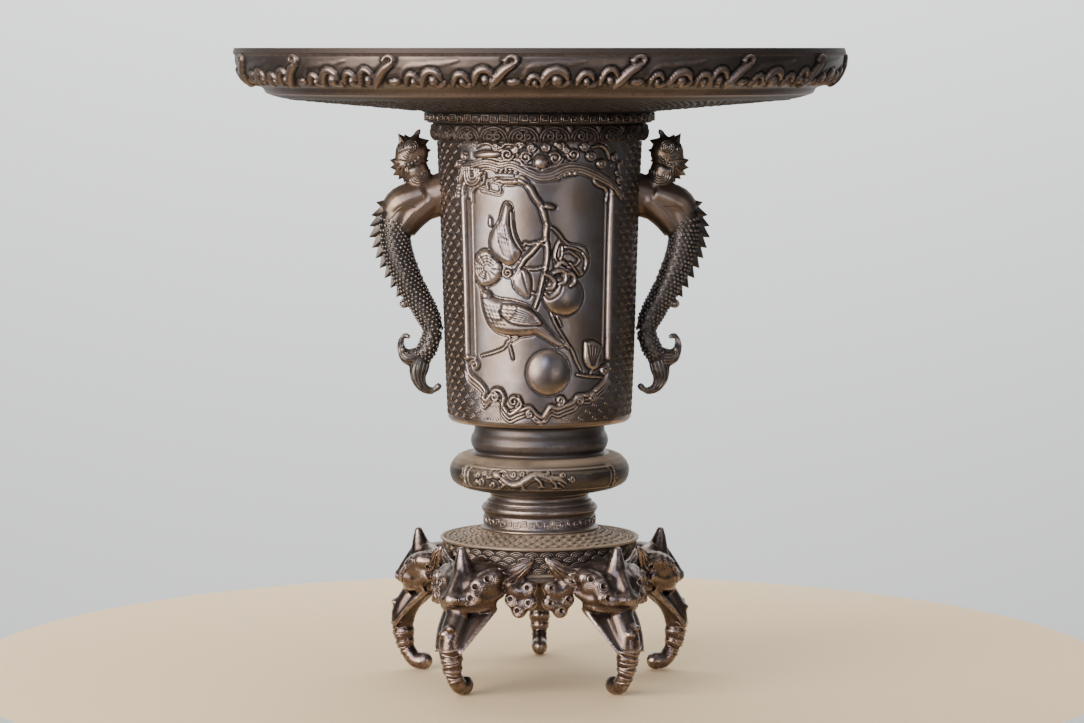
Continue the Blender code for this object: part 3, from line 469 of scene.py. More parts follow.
class ReliefMap:
    """Heights in millimetres over a grid: along the wall, and up it."""

    def __init__(self, along, up):
        self.along, self.up = np.meshgrid(along, up)
        self.height = np.zeros_like(self.along)

    def near(self, points, margin):
        """The window of the grid that holds some points and a margin, or None."""
        low, high = points.min(axis=0) - margin, points.max(axis=0) + margin
        columns = np.flatnonzero((self.along[0] >= low[0]) & (self.along[0] <= high[0]))
        rows = np.flatnonzero((self.up[:, 0] >= low[1]) & (self.up[:, 0] <= high[1]))
        if not len(rows) or not len(columns):
            return None
        return slice(rows[0], rows[-1] + 1), slice(columns[0], columns[-1] + 1)

    def distance(self, line, window):
        """How far each place is from a broken line, on which side, and its share of the way along."""
        along, up = self.along[window], self.up[window]
        far, side, share = np.full(along.shape, 1e9), np.zeros(along.shape), np.zeros(along.shape)
        steps = np.diff(line, axis=0)
        lengths = np.maximum(np.hypot(*steps.T), 1e-9)
        before = np.concatenate([[0.0], np.cumsum(lengths)])
        for start, step, length, done in zip(line, steps, lengths, before):
            right, rise = along - start[0], up - start[1]
            part = np.clip((right * step[0] + rise * step[1]) / length ** 2, 0.0, 1.0)
            here = np.hypot(right - part * step[0], rise - part * step[1])
            closer = here < far
            far = np.where(closer, here, far)
            side = np.where(closer, np.sign(step[0] * rise - step[1] * right), side)
            share = np.where(closer, (done + part * length) / before[-1], share)
        return far, side, share

    def lay(self, window, inside, height):
        """Raise what is inside to a height, where it isn't higher already."""
        here = self.height[window]
        self.height[window] = np.where(inside, np.maximum(here, height), here)

    def cut(self, window, far, depth, width=0.45):
        """Cut a soft groove where far is near zero."""
        self.height[window] -= depth * np.exp(-(far / width) ** 2)

    def stroke(self, points, width, height, ends=0.45, groove=0.0, base=0.0, tail=None):
        """A rounded ridge along a curve; its ends are thinner, and a groove can run beside it."""
        line = smooth_line(points)
        window = self.near(line, width / 2.0 + 1.6)
        if window is None:
            return
        far, _, share = self.distance(line, window)
        half = width / 2.0 * (1.0 - (1.0 - ends) * np.abs(2.0 * share - 1.0) ** 4)
        if tail is not None:
            half = width / 2.0 * (1.0 + (tail - 1.0) * share)
        if groove:
            self.cut(window, np.maximum(far - half - 0.25, -9.0) * np.where(far > half, 1.0, 9.0), groove)
        dome = np.sqrt(np.clip(1.0 - (far / half) ** 2, 0.0, 1.0))
        self.lay(window, far < half, base + height * dome)

    def ribbon(self, points, width, ridges, height):
        """A band of parallel ridges along a curve."""
        line = smooth_line(points)
        window = self.near(line, width)
        far, side, share = self.distance(line, window)
        half = width / 2.0 * (1.0 - 0.45 * np.abs(2.0 * share - 1.0) ** 6)
        across = far * side / half
        folds = np.abs(np.cos(np.pi * ridges * across / 2.0))
        crown = np.sqrt(np.clip(1.0 - across ** 2, 0.0, 1.0))
        self.cut(window, np.where(far > half, far - half - 0.3, 9.0), 0.5 * height)
        self.lay(window, far < half, height * (0.45 * crown + 0.55 * folds * np.sqrt(crown)))

    def oval(self, centre, half_long, half_short, height, lean=0.0, fullness=0.5, groove=0.0):
        """A dome with an oval foot, its long axis leaning by some degrees."""
        centre = np.asarray(centre, float)
        window = self.near(centre[None], max(half_long, half_short) + 1.6)
        if window is None:
            return
        turn = math.radians(lean)
        right, rise = self.along[window] - centre[0], self.up[window] - centre[1]
        first = (right * math.cos(turn) + rise * math.sin(turn)) / half_long
        second = (rise * math.cos(turn) - right * math.sin(turn)) / half_short
        reach = np.hypot(first, second)
        if groove:
            outside = (reach - 1.0) * min(half_long, half_short) - 0.3
            self.cut(window, np.where(reach > 1.0, outside, 9.0), groove)
        self.lay(window, reach < 1.0, height * np.clip(1.0 - reach ** 2, 0.0, 1.0) ** fullness)

    def form(self, outline, height, edge, groove=0.0, base=0.0):
        """A pillow inside a closed outline, full height at some distance from its edge."""
        line = smooth_line(list(outline) + [outline[0]], 5)
        window = self.near(line, 2.0)
        far, _, _ = self.distance(line, window)
        along, up = self.along[window], self.up[window]
        inside = np.zeros(along.shape, bool)
        for (a, b), (c, d) in zip(line, line[1:]):
            crosses = (b > up) != (d > up)
            with np.errstate(divide="ignore", invalid="ignore"):
                inside ^= crosses & (along < (c - a) * (up - b) / (d - b) + a)
        if groove:
            self.cut(window, np.where(inside, 9.0, far - 0.3), groove)
        rise = np.sqrt(1.0 - (1.0 - np.clip(far / edge, 0.0, 1.0)) ** 2)
        self.lay(window, inside, base + height * rise)

    def etch(self, points, width, depth, smooth=True):
        """An engraved line."""
        line = smooth_line(points) if smooth else np.asarray(points, float)
        window = self.near(line, width + 0.8)
        if window is not None:
            self.cut(window, self.distance(line, window)[0], depth, width / 2.0)


def spiral(centre, radius, turns=1.4, start=0.0, hand=1.0, inner=0.22):
    """Points of a curl that winds in to its centre; start in degrees, hand is its sense."""
    steps = max(7, int(turns * 9))
    shares = np.linspace(0.0, 1.0, steps)
    angles = math.radians(start) + hand * math.tau * turns * shares
    reach = radius * (1.0 - (1.0 - inner) * shares)
    return [(centre[0] + r * math.cos(a), centre[1] + r * math.sin(a)) for r, a in zip(reach, angles)]


print("a curl has", len(spiral((0, 0), 3.0)), "points")

# %% [markdown]
# The vessel's wall is one profile from the cloud band down to the rounded bottom. The body core is the
# whole casting with its hollow, closed in one turned shape. The carved panels at the front and back are
# closed skins that lie on the core, and the scale net at the two sides is grown on the core itself.

# %% The body's profile
WALL_PROFILE = [(55.4, 291.2), (55.9, 289.0), (55.9, 286.0), (55.3, 283.6), (53.9, 282.6), (53.4, 281.6),
                (52.8, 267.0), (51.9, 245.0), (50.9, 215.0), (50.0, 185.0), (49.2, 160.0), (48.2, 139.0),
                (47.6, 137.4), (46.3, 136.3), (44.0, 136.0)]
NECK_PROFILE = [(34.6, 135.0), (34.0, 133.0), (34.2, 130.6), (35.6, 128.0), (36.1, 125.4), (35.4, 122.6),
                (33.8, 120.6), (33.8, 119.6), (37.0, 118.9)]
RING_PROFILE = [(37.0, 119.0), (40.5, 118.6), (43.0, 117.5), (45.4, 114.9), (46.8, 112.2), (47.1, 109.6),
                (46.6, 106.9), (45.6, 104.6), (43.6, 103.0), (40.6, 101.6), (36.0, 100.5), (31.0, 99.6),
                (27.0, 98.6)]
FOOT_PROFILE = [(27.0, 98.4), (25.8, 97.2), (25.6, 96.2), (25.8, 95.0), (27.4, 94.2), (27.7, 93.2),
                (27.2, 92.4), (29.4, 92.0), (30.4, 90.9), (30.4, 89.4), (29.5, 88.0), (28.9, 87.2),
                (29.2, 86.0), (29.3, 81.4), (29.9, 80.8), (30.8, 80.3), (30.8, 79.5)]
INSIDE_PROFILE = [(27.0, 79.5), (25.5, 84.0), (22.5, 90.0), (21.5, 98.0), (29.0, 104.0), (40.5, 107.0),
                  (41.0, 112.0), (31.0, 117.0), (29.5, 130.0), (33.0, 138.5), (43.5, 141.0), (44.6, 146.0),
                  (49.2, 270.0), (50.2, 286.0), (51.2, 291.2)]
print("wall from", WALL_PROFILE[0][1], "to", WALL_PROFILE[-1][1], "mm")

# %% Body core
CORE_PARTS = ((WALL_PROFILE, 2.4, 0.5), (NECK_PROFILE, 0.7, 0.0), (RING_PROFILE, 1.6, 0.6),
              (FOOT_PROFILE, 0.6, 0.0), (INSIDE_PROFILE, 5.0, 0.0))
LOWER_EDGE = 139.6


def sunk_profile(profile, spacing, depth):
    """A profile sampled evenly and moved in, but not at its lower edge, where nothing lies on it."""
    line = even_line(profile, spacing)
    free = np.where((line[:, 1] < LOWER_EDGE) & (line[:, 1] > 130.0), 0.0, depth)
    return line - profile_normals(line) * free[:, None]


body_core = turned_body("body_core", np.vstack([sunk_profile(*part) for part in CORE_PARTS]), 128)
weather(body_core, rounds=10, reach=0.8)
# Painted shade: the neck, from 118 to 136 mm, is darkened evenly to dim its highlights
darken_evenly(body_core, 0.5, 118.0, 136.0)
dress(body_core, BROWN, "brown_bronze", "body")

# %% [markdown]
# What repeats round the vessel is grown with Geometry Nodes: one motif is instanced on a list of spots,
# each with its own facing, and its size can vary a little. The spots come from a short loop, the nodes
# place, turn and size the motif.

# %% Pattern grower


def pattern_tree():
    """A node group that sets a motif on every point, turned and sized by the point's attributes."""
    tree = bpy.data.node_groups.new("set motif on points", "GeometryNodeTree")
    for name, kind in (("Spots", "Geometry"), ("Motif", "Object"), ("Material", "Material"),
                       ("Unevenness", "Float"), ("Seed", "Int")):
        tree.interface.new_socket(name, in_out="INPUT", socket_type=f"NodeSocket{kind}")
    tree.interface.new_socket("Pattern", in_out="OUTPUT", socket_type="NodeSocketGeometry")
    given = tree.nodes.new("NodeGroupInput").outputs
    turn, size = (add(tree, "GeometryNodeInputNamedAttribute", {"Name": key}, data_type="FLOAT_VECTOR")
                  for key in ("turn", "size"))
    least, most = (add(tree, "ShaderNodeMath", {0: 1.0, 1: given["Unevenness"]}, operation=kind)
                   for kind in ("SUBTRACT", "ADD"))
    limits = {2: least.outputs[0], 3: most.outputs[0], "Seed": given["Seed"]}
    uneven = add(tree, "FunctionNodeRandomValue", limits, data_type="FLOAT")
    sized = add(tree, "ShaderNodeVectorMath", {0: size.outputs["Attribute"], "Scale": uneven.outputs[1]},
                operation="SCALE")
    turned = add(tree, "FunctionNodeEulerToRotation", {"Euler": turn.outputs["Attribute"]})
    motif = add(tree, "GeometryNodeObjectInfo", {"Object": given["Motif"]})
    placed = add(tree, "GeometryNodeInstanceOnPoints", {
        "Points": given["Spots"], "Instance": motif.outputs["Geometry"],
        "Rotation": turned.outputs["Rotation"],
        "Scale": sized.outputs["Vector"]})
    real = add(tree, "GeometryNodeRealizeInstances", {"Geometry": placed.outputs["Instances"]})
    metal = add(tree, "GeometryNodeSetMaterial", {"Geometry": real.outputs["Geometry"],
                                                  "Material": given["Material"]})
    add(tree, "NodeGroupOutput", {"Pattern": metal.outputs["Geometry"]})
    return tree


SET_MOTIF = pattern_tree()
SEED = 7


def grow_pattern(name, spots, motif, material, unevenness=0.0, size=(1.0, 1.0, 1.0)):
    """A plain mesh with the motif on each spot, which is a place and the motif's turn there."""
    places, turns = zip(*spots)
    mesh = bpy.data.meshes.new(name)
    mesh.from_pydata([tuple(c * MM for c in place) for place in places], [], [])
    for key, values in (("turn", turns), ("size", [size] * len(spots))):
        layer = mesh.attributes.new(key, "FLOAT_VECTOR", "POINT")
        layer.data.foreach_set("vector", np.array(values, float).ravel())
    thing = into_scene(name, mesh)
    grower = thing.modifiers.new("Grow", "NODES")
    grower.node_group = SET_MOTIF
    sockets = {item.name: item.identifier for item in SET_MOTIF.interface.items_tree}
    for key, value in (("Motif", motif), ("Material", material), ("Unevenness", unevenness), ("Seed", SEED)):
        grower[sockets[key]] = value
    settle(thing)
    thing.data.shade_smooth()
    bpy.data.objects.remove(motif)
    return thing


def lay_pattern(name, spots, motif, material, slot, reach, darkening=0.0, **how):
    """Grow a pattern and finish it: worn by its form, and darkened evenly by a share if it is given one."""
    thing = weather(grow_pattern(name, spots, motif, material, **how), rounds=1, reach=reach)
    darken_evenly(thing, darkening)
    dress(thing, material, slot)


def around(turn, radius, height):
    """A place at a turn from the front, a radius from the axis and a height."""
    return radius * math.sin(turn), -radius * math.cos(turn), height


def wall_spot(turn, radius, height, lean=0.0):
    """A place on a turned wall and the turn that makes a motif's own Z face out of it, its Y up."""
    upright = Matrix.Rotation(turn, 3, "Z") @ Matrix.Rotation(math.pi / 2.0, 3, "X")
    return around(turn, radius, height), tuple((upright @ Matrix.Rotation(lean, 3, "Z")).to_euler())


print("pattern inputs:", [item.name for item in SET_MOTIF.interface.items_tree][:5])

# %% [markdown]
# The motifs are small closed shapes with few faces: a dome for a stud or a scale, and a ridge along a
# line for arcs and fret keys. Each lies flat, faces up Z, and is a little sunk below its own floor.

# %% Motifs
DOME_SIDES = 6


def motif_object(name, maker):
    """A motif as an object of its own, its faces turned out."""
    bmesh.ops.recalc_face_normals(maker, faces=maker.faces)
    thing = object_of(name)
    maker.to_mesh(thing.data)
    maker.free()
    return thing


def dome_motif(name, radius, height, shoulder=0.70):
    """A low dome with six sides; without a shoulder it is a blunt point, with half the faces."""
    maker = bmesh.new()
    rings = []
    for share, level in ((1.0, -0.3), (shoulder, 0.72 * height))[:2 if shoulder else 1]:
        reach = radius * share
        rings.append([maker.verts.new(Vector((reach * math.cos(a), reach * math.sin(a), level)) * MM)
                      for a in (math.tau * side / DOME_SIDES for side in range(DOME_SIDES))])
    top = maker.verts.new((0.0, 0.0, height * MM))
    for k in range(DOME_SIDES):
        if shoulder:
            maker.faces.new((rings[0][k], rings[0][k - 1], rings[1][k - 1], rings[1][k]))
        maker.faces.new((rings[-1][k], rings[-1][k - 1], top))
    maker.faces.new(rings[0])
    return motif_object(name, maker)


def ridge_on(maker, line, width, height, flat_top):
    """A closed ridge along a broken line on the floor, with mitred corners."""
    line = [Vector(point) for point in line]
    sections = []
    for index, here in enumerate(line):
        before, after = line[max(index - 1, 0)], line[min(index + 1, len(line) - 1)]
        one = (here - before).normalized() if index else (after - here).normalized()
        other = (after - here).normalized() if index < len(line) - 1 else one
        across = (one + other).normalized().orthogonal()
        half = width / 2.0 / max(across.dot(one.orthogonal()), 0.5)
        crown = ((-flat_top, height), (flat_top, height)) if flat_top else ((0.0, height),)
        sections.append([maker.verts.new(Vector((*(here + across * half * side), level)) * MM)
                         for side, level in ((-1.0, -0.35), *crown, (1.0, -0.35))])
    for one, other in zip(sections, sections[1:]):
        for a, b, c, d in zip(one, one[1:] + one[:1], other[1:] + other[:1], other):
            maker.faces.new((a, b, c, d))
    maker.faces.new(sections[0])
    maker.faces.new(reversed(sections[-1]))


def arch_motif(name, radii, width, height, squash):
    """Nested arches, like one scale of a wave net."""
    maker = bmesh.new()
    for steps, radius in zip((5, 4, 3), radii):
        angles = np.radians(np.linspace(10.0, 170.0, steps + 1))
        line = [(radius * math.cos(a), squash * radius * math.sin(a)) for a in angles]
        ridge_on(maker, line, width, height, 0.0)
    return motif_object(name, maker)


def key_motif(name, wide, tall, width, height):
    """One turn of a key fret: a ridge that winds in at right angles."""
    maker = bmesh.new()
    right, top = wide / 2.0 - width, tall / 2.0
    course = ((-1.0, -1.0), (-1.0, 1.0), (1.0, 1.0), (1.0, -0.5), (-0.42, -0.5), (-0.42, 0.36), (0.36, 0.36))
    ridge_on(maker, [(right * along, top * up) for along, up in course], width, height, 0.6)
    return motif_object(name, maker)


print("a dome has", triangles(trial := dome_motif("trial", 1.0, 0.5)), "triangles")
bpy.data.objects.remove(trial)

# %% [markdown]
# The heads, trunks and handles are free forms. Each is first a heap of tubes and balls that overlap, as
# a wax modeller presses rolls and pellets together. A voxel remesh melts the heap into one closed skin.
# Finer lines, such as curls and wrinkles, are thin tubes laid on that skin afterwards: their points are
# moved to the nearest place on it, or thrown straight on to it from the side, so rough coordinates are
# enough.

# %% Wax forms
PLEATS = 5


def tube_form(maker, course, sides=14, flat=1.0, side_on=(1.0, 0.0, 0.0), steps=4):
    """A closed tube through (x, y, z, radius) points, in millimetres, flattened along side_on."""
    course = smooth_line(course, steps)
    centres, radii = course[:, :3], np.maximum(course[:, 3], 0.04)
    along = np.gradient(centres, axis=0)
    along /= np.maximum(np.linalg.norm(along, axis=1)[:, None], 1e-9)
    across = np.asarray(side_on, float) - along * (along @ np.asarray(side_on, float))[:, None]
    across /= np.maximum(np.linalg.norm(across, axis=1)[:, None], 1e-9)
    third = np.cross(along, across)
    turns = np.linspace(0.0, math.tau, sides, endpoint=False)[None, :, None]
    reach = across[:, None] * (flat * np.cos(turns)) + third[:, None] * np.sin(turns)
    rings = (centres[:, None] + reach * radii[:, None, None]) * MM
    verts = [[maker.verts.new(spot) for spot in ring] for ring in rings]
    for one, other in zip(verts, verts[1:]):
        for a, b, c, d in zip(one, one[1:] + one[:1], other[1:] + other[:1], other):
            maker.faces.new((a, b, c, d))
    for ring, centre, order in ((verts[0], centres[0], -1), (verts[-1], centres[-1], 1)):
        middle = maker.verts.new(centre * MM)
        for a, b in zip(ring, ring[1:] + ring[:1]):
            maker.faces.new((a, b, middle)[::order])


def line_form(maker, course):
    """A thin tube through points that lie on a skin already."""
    tube_form(maker, course, sides=6, steps=1, side_on=(0.31, 0.52, 0.79))


def ball_form(maker, centre, radii, segments=20):
    """An oval ball."""
    before = set(maker.verts)
    bmesh.ops.create_uvsphere(maker, u_segments=segments, v_segments=segments * 2 // 3, radius=1.0)
    for vert in maker.verts:
        if vert not in before:
            vert.co = (Vector(centre) + Vector(radii) * vert.co) * MM


def sheet_form(maker, rows, thick):
    """A closed curved sheet through rows of (x, y, z) points, in millimetres."""
    rows = np.stack([smooth_line(row, 4) for row in rows], axis=1)
    grid = np.stack([smooth_line(column, 4) for column in rows], axis=1)
    normal = np.cross(np.gradient(grid, axis=0), np.gradient(grid, axis=1))
    normal *= thick / 2.0 / np.maximum(np.linalg.norm(normal, axis=2)[..., None], 1e-9)
    front, back = ([[maker.verts.new(spot) for spot in row] for row in (grid + side) * MM]
                   for side in (normal, -normal))
    down, across = len(front) - 1, len(front[0]) - 1
    for i in range(down):
        for j in range(across):
            maker.faces.new((front[i][j], front[i + 1][j], front[i + 1][j + 1], front[i][j + 1]))
            maker.faces.new((back[i][j], back[i][j + 1], back[i + 1][j + 1], back[i + 1][j]))
    rim = [(0, j) for j in range(across)] + [(i, across) for i in range(down)]
    rim += [(down, j) for j in range(across, 0, -1)] + [(i, 0) for i in range(down, 0, -1)]
    for (i, j), (k, m) in zip(rim, rim[1:] + rim[:1]):
        maker.faces.new((front[i][j], front[k][m], back[k][m], back[i][j]))


def leaf_form(maker, foot, tip, width, side, thick):
    """A pointed leaf, flat across side, with pleats that spread from its foot."""
    foot, tip, side = (np.asarray(v, float) for v in (foot, tip, side))
    across = np.cross(side, tip - foot)
    across *= width / 2.0 / np.linalg.norm(across)
    edge = [foot + (tip - foot) * (1.0 - abs(s) ** 0.9 * 0.62) + across * s
            for s in np.linspace(-1.0, 1.0, PLEATS)]
    shells = []
    for hand in (thick / 2.0, -thick / 2.0):
        root = maker.verts.new((foot + side * hand) * MM)
        middle = [maker.verts.new((foot * 0.42 + e * 0.58 + side * hand * (0.30 if k % 2 else 1.0)) * MM)
                  for k, e in enumerate(edge)]
        rim = [maker.verts.new((e + side * hand * 0.16) * MM) for e in edge]
        for k in range(PLEATS - 1):
            maker.faces.new((root, middle[k], middle[k + 1]))
            maker.faces.new((middle[k], rim[k], rim[k + 1], middle[k + 1]))
        shells.append((root, middle, rim))
    (root, middle, rim), (root_2, middle_2, rim_2) = shells
    for k in range(PLEATS - 1):
        maker.faces.new((rim[k], rim[k + 1], rim_2[k + 1], rim_2[k]))
    for k in (0, -1):
        maker.faces.new((root, middle[k], rim[k], rim_2[k], middle_2[k], root_2))


def melted(name, maker, voxel, softness=2, floor=None):
    """One closed skin round a heap of forms, flat on the floor where it would go under."""
    bmesh.ops.recalc_face_normals(maker, faces=maker.faces)
    thing = object_of(name)
    maker.to_mesh(thing.data)
    maker.free()
    skin = thing.modifiers.new("Skin", "REMESH")
    skin.mode = "VOXEL"
    skin.voxel_size = voxel * MM
    skin.use_smooth_shade = True
    smooth = thing.modifiers.new("Soften", "SMOOTH")
    smooth.factor, smooth.iterations = 0.5, softness
    settle(thing)
    if floor is not None:
        for vert in thing.data.vertices:
            vert.co.z = max(vert.co.z, floor)
    return thing


def tree_of(thing):
    """A piece's skin as a tree that finds the nearest place on it."""
    return BVHTree.FromObject(thing, bpy.context.evaluated_depsgraph_get())


def lay_line(maker, tree, course, lift=0.1):
    """A raised line on a skin: its points go to the nearest place on it, and off it by a little."""
    moved = []
    for x, y, z, radius in smooth_line(course, 4):
        spot, normal, _, _ = tree.find_nearest(Vector((x, y, z)) * MM)
        moved.append([*(spot / MM + normal * lift), radius])
    line_form(maker, moved)


def lay_shell(maker, tree, plain_tree, centre, radius, start, end):
    """A curl of hair: a rim round its pit, and arcs that spread from it like a shell's.

    The skin's slope there is read from plain_tree, the skin without its pits.
    """
    spot, normal, _, _ = plain_tree.find_nearest(Vector(centre) * MM)
    right = Vector((0.0, 0.0, 1.0)).cross(normal).normalized()
    up = normal.cross(right)
    for share, first, last, thick in ((0.34, 0.0, 360.0, 0.50), (0.58, start, end, 0.46),
                                      (0.80, start, end, 0.44), (1.0, start + 20.0, end - 20.0, 0.38)):
        angles = np.radians(np.linspace(first, last, 6))
        ring = [spot / MM + (right * math.cos(a) + up * math.sin(a)) * radius * share for a in angles]
        lay_line(maker, tree, [(*place, thick) for place in ring])


def dent(thing, tree, centres, radius, depth):
    """Press round pits in a skin, each at its nearest place to a point."""
    places = values_of(thing.data.vertices, "co", len(thing.data.vertices))
    for centre in centres:
        spot, normal, _, _ = tree.find_nearest(Vector(centre) * MM)
        near = np.exp(-(np.linalg.norm(places - np.array(spot), axis=1) / (radius * MM)) ** 2)
        places -= near[:, None] * np.array(normal) * depth * MM
    thing.data.vertices.foreach_set("co", places.ravel())


def join_forms(thing, maker):
    """Add finished lines to a skin."""
    bmesh.ops.recalc_face_normals(maker, faces=maker.faces)
    maker.from_mesh(thing.data)
    maker.to_mesh(thing.data)
    maker.free()
    thing.data.shade_smooth()
    return thing


print("wax forms are ready")

# %% [markdown]
# An elephant head stands out from the drum on its trunk, which curls in to a ball at the floor. The
# head is made once, facing the front, and turned to its five places round the drum. Its places are
# given as reach out from the drum's side, degrees round from the head's middle, and height.

# %% Elephant head foot
LEG_COUNT = 5
FIRST_LEG_TURN = math.radians(36.0)
DRUM_REACH = 50.2
# The heights between which the trunk's skin lies in folds
FOLDED = (9.0, 27.5)
# The middle of the trunk from the head down to its curled end, each place with its radius
TRUNK = ((19.5, 0, 41.4, 6.8), (24.2, 0, 34.0, 6.6), (26.4, 0, 27.0, 6.3), (26.0, 0, 20.8, 5.7),
         (25.2, 0, 15.2, 4.8), (23.4, 0, 9.8, 4.0), (19.6, 0, 5.2, 4.3), (15.4, 0, 4.7, 4.6))
# Degrees round and height of the curls in the brow and the beard, and how far out the brow's lie
BROW_CURLS = ((8.3, 51.9, 24.8), (9.4, 57.9, 21.9), (13.8, 61.2, 16.6))
BEARD_CURLS = ((20.5, 56.6), (30.0, 55.2), (20.8, 49.0), (30.4, 47.6), (24.6, 43.4))
# Balls of wax, a place and three radii each: the skull, the lip, the trunk's curl and the warts on it
MIDDLE_BALLS = (((10.5, 0, 57.0), (14.0, 12.6, 8.6)), ((12.0, 0, 48.4), (12.4, 11.6, 5.6)),
                ((26.3, 0, 50.6), (5.4, 4.2, 4.2)), ((14.6, 0, 4.9), (4.3, 4.9, 4.9)),
                ((30.3064, 1.4, 36.4), (2.9, 1.9, 1.6)), ((30.9904, -1.0, 33.4), (2.9, 1.9, 1.6)),
                ((30.5944, 0.8, 30.4), (2.9, 1.9, 1.6)))
# Rolls of wax, each place with its radius: horn, nose, crown, root of the trunk and lip
MIDDLE_ROLLS = (((17.4, 0, 76.6, 1.6), (17.2, 0, 73.4, 2.8), (16.7, 0, 70.0, 4.0), (16.1, 0, 66.4, 5.2),
                 (15.4, 0, 62.4, 6.8), (14.4, 0, 57.4, 8.8)),
                ((17.0, 0, 67.0, 3.0), (20.8, 0, 61.0, 3.2), (24.2, 0, 55.6, 3.4), (26.0, 0, 51.8, 3.8)),
                ((-2.5, 0, 65.6, 4.8), (6.5, 0, 64.2, 5.2), (14.0, 0, 62.4, 5.6)),
                ((0.0, 0, 48.0, 6.4), (11.0, 0, 46.2, 6.6), (17.0, 0, 44.0, 6.8)),
                ((10.6, -14.4, 47.4, 1.8), (18.6, -9.6, 45.6, 1.9), (23.6, 0, 45.2, 2.2),
                 (18.6, 9.6, 45.6, 1.9), (10.6, 14.4, 47.4, 1.8)))
# The same for each side of the head: cheek, temple and root of the ear
SIDE_BALLS = (((10.5, 9.4, 56.4), (8.4, 9.6, 7.8)), ((7.0, 8.6, 60.4), (8.4, 7.0, 6.0)),
              ((5.6, 16.0, 60.6), (4.8, 4.0, 4.4)))
# Brow, cheekbone, crown to ear, tusk, and two rolls behind the beard
SIDE_ROLLS = (((20.0, 5.0, 51.4, 5.2), (18.4, 7.6, 53.6, 5.6), (15.6, 9.0, 57.6, 6.0),
               (11.0, 12.6, 60.4, 5.6), (6.0, 16.5, 60.6, 4.4)),
              ((26.0, 0, 50.6, 4.0), (20.6, 6.6, 50.4, 4.2), (14.0, 12.0, 50.8, 3.6), (7.6, 16.0, 54.0, 3.6)),
              ((12.0, 1.0, 64.4, 4.0), (8.0, 7.0, 64.6, 3.9), (5.4, 12.0, 64.0, 3.8), (4.2, 16.0, 62.0, 4.0)),
              ((9.8, 14.0, 45.6, 2.0), (20.6, 9.4, 34.6, 1.5), (29.4, 5.3, 23.2, 0.8)),
              ((2.4, 19.0, 54.6, 4.4), (2.4, 25.0, 53.0, 4.4), (2.0, 31.0, 52.4, 4.0)),
              ((2.2, 20.0, 49.0, 4.0), (2.2, 25.0, 46.0, 4.2), (1.8, 30.0, 48.4, 3.8)))
# Sheets of wax, a thickness and rows of places each: the ear, its lower leaf, and the web behind the trunk
SIDE_SHEETS = ((2.4, (((4.6, 14.0, 65.6), (6.4, 14.0, 61.6), (4.4, 14.6, 57.6)),
                      ((3.6, 21.0, 67.0), (5.6, 21.4, 63.4), (3.6, 22.0, 59.8)),
                      ((2.8, 28.0, 69.8), (4.4, 28.4, 67.0), (2.8, 29.4, 64.2)),
                      ((2.2, 33.2, 71.2), (2.4, 33.4, 70.6), (2.2, 33.5, 70.0)))),
               (2.4, (((3.6, 17.0, 60.6), (4.2, 17.0, 58.6), (3.2, 17.4, 56.8)),
                      ((2.8, 25.0, 62.8), (3.6, 25.2, 60.8), (2.4, 25.6, 59.0)),
                      ((2.0, 31.4, 67.0), (2.2, 31.5, 66.5), (2.0, 31.6, 66.0)))),
               (2.2, (((16.4, 1.0, 44.0), (13.6, 7.6, 44.6), (10.2, 13.4, 45.4)),
                      ((23.6, 1.0, 36.0), (20.4, 5.6, 35.6), (20.6, 9.3, 34.6)),
                      ((27.6, 1.0, 28.4), (27.4, 3.2, 26.6), (29.0, 5.1, 23.6)))))
# Lines on the skin at each side, each with its lift: four ribs of the ear, and one along the tusk
SIDE_LINES = ((0.15, ((9, 15.0, 65.6, 0.4), (8, 24.0, 68.4, 0.6), (6, 32.8, 71.0, 0.35))),
              (0.15, ((9, 15.0, 58.4, 0.4), (8, 24.0, 61.8, 0.6), (6, 33.2, 70.0, 0.35))),
              (0.15, ((9, 16.0, 62.0, 0.4), (8, 23.0, 64.4, 0.6), (6, 30.6, 68.6, 0.35))),
              (0.15, ((9, 18.0, 57.6, 0.4), (8, 25.4, 59.6, 0.6), (6, 31.4, 66.2, 0.35))),
              (0.1, ((14.0, 16.0, 42.6, 0.4), (24.0, 11.4, 33.0, 0.5), (31.8, 6.4, 23.6, 0.4))))


def head_spot(reach, turn, height, *radius):
    """A place on the head in millimetres, with its radius if it has one."""
    return (*around(math.radians(turn), DRUM_REACH + reach, height), *radius)


def head_spots(places, hand=1.0):
    """Places on the head, mirrored to its other side by hand."""
    return [head_spot(reach, hand * turn, *rest) for reach, turn, *rest in places]


def trunk_course():
    """The trunk's course, with rings that swell where its skin folds."""
    course = smooth_line(head_spots(TRUNK), 6)
    folds = np.where((course[:, 2] < 27.0) & (course[:, 2] > 7.0), 0.55, 0.0)
    course[:, 3] += folds * np.cos(course[:, 2] * math.tau / 3.5 + 1.6 * np.sin(course[:, 2] * 0.7))
    return course


def head_forms():
    """The masses of one head."""
    wax = bmesh.new()
    tube_form(wax, trunk_course(), sides=18, steps=1)
    for hand, balls, rolls, sheets in ((1.0, MIDDLE_BALLS, MIDDLE_ROLLS, ()),
                                       (-1.0, SIDE_BALLS, SIDE_ROLLS, SIDE_SHEETS),
                                       (1.0, SIDE_BALLS, SIDE_ROLLS, SIDE_SHEETS)):
        for place, radii in balls:
            ball_form(wax, head_spots([place], hand)[0], radii)
        for roll in rolls:
            tube_form(wax, head_spots(roll, hand))
        for thick, rows in sheets:
            sheet_form(wax, [head_spots(row, hand) for row in rows], thick)
        if sheets:
            for turn, height, reach in BROW_CURLS:
                ball_form(wax, head_spot(reach - 5.4, hand * (turn - 0.6), height), (5.6, 5.8, 5.0))
            for turn, height in BEARD_CURLS:
                ball_form(wax, head_spot(3.0, hand * turn, height), (4.3, 4.0, 4.1))
    return wax


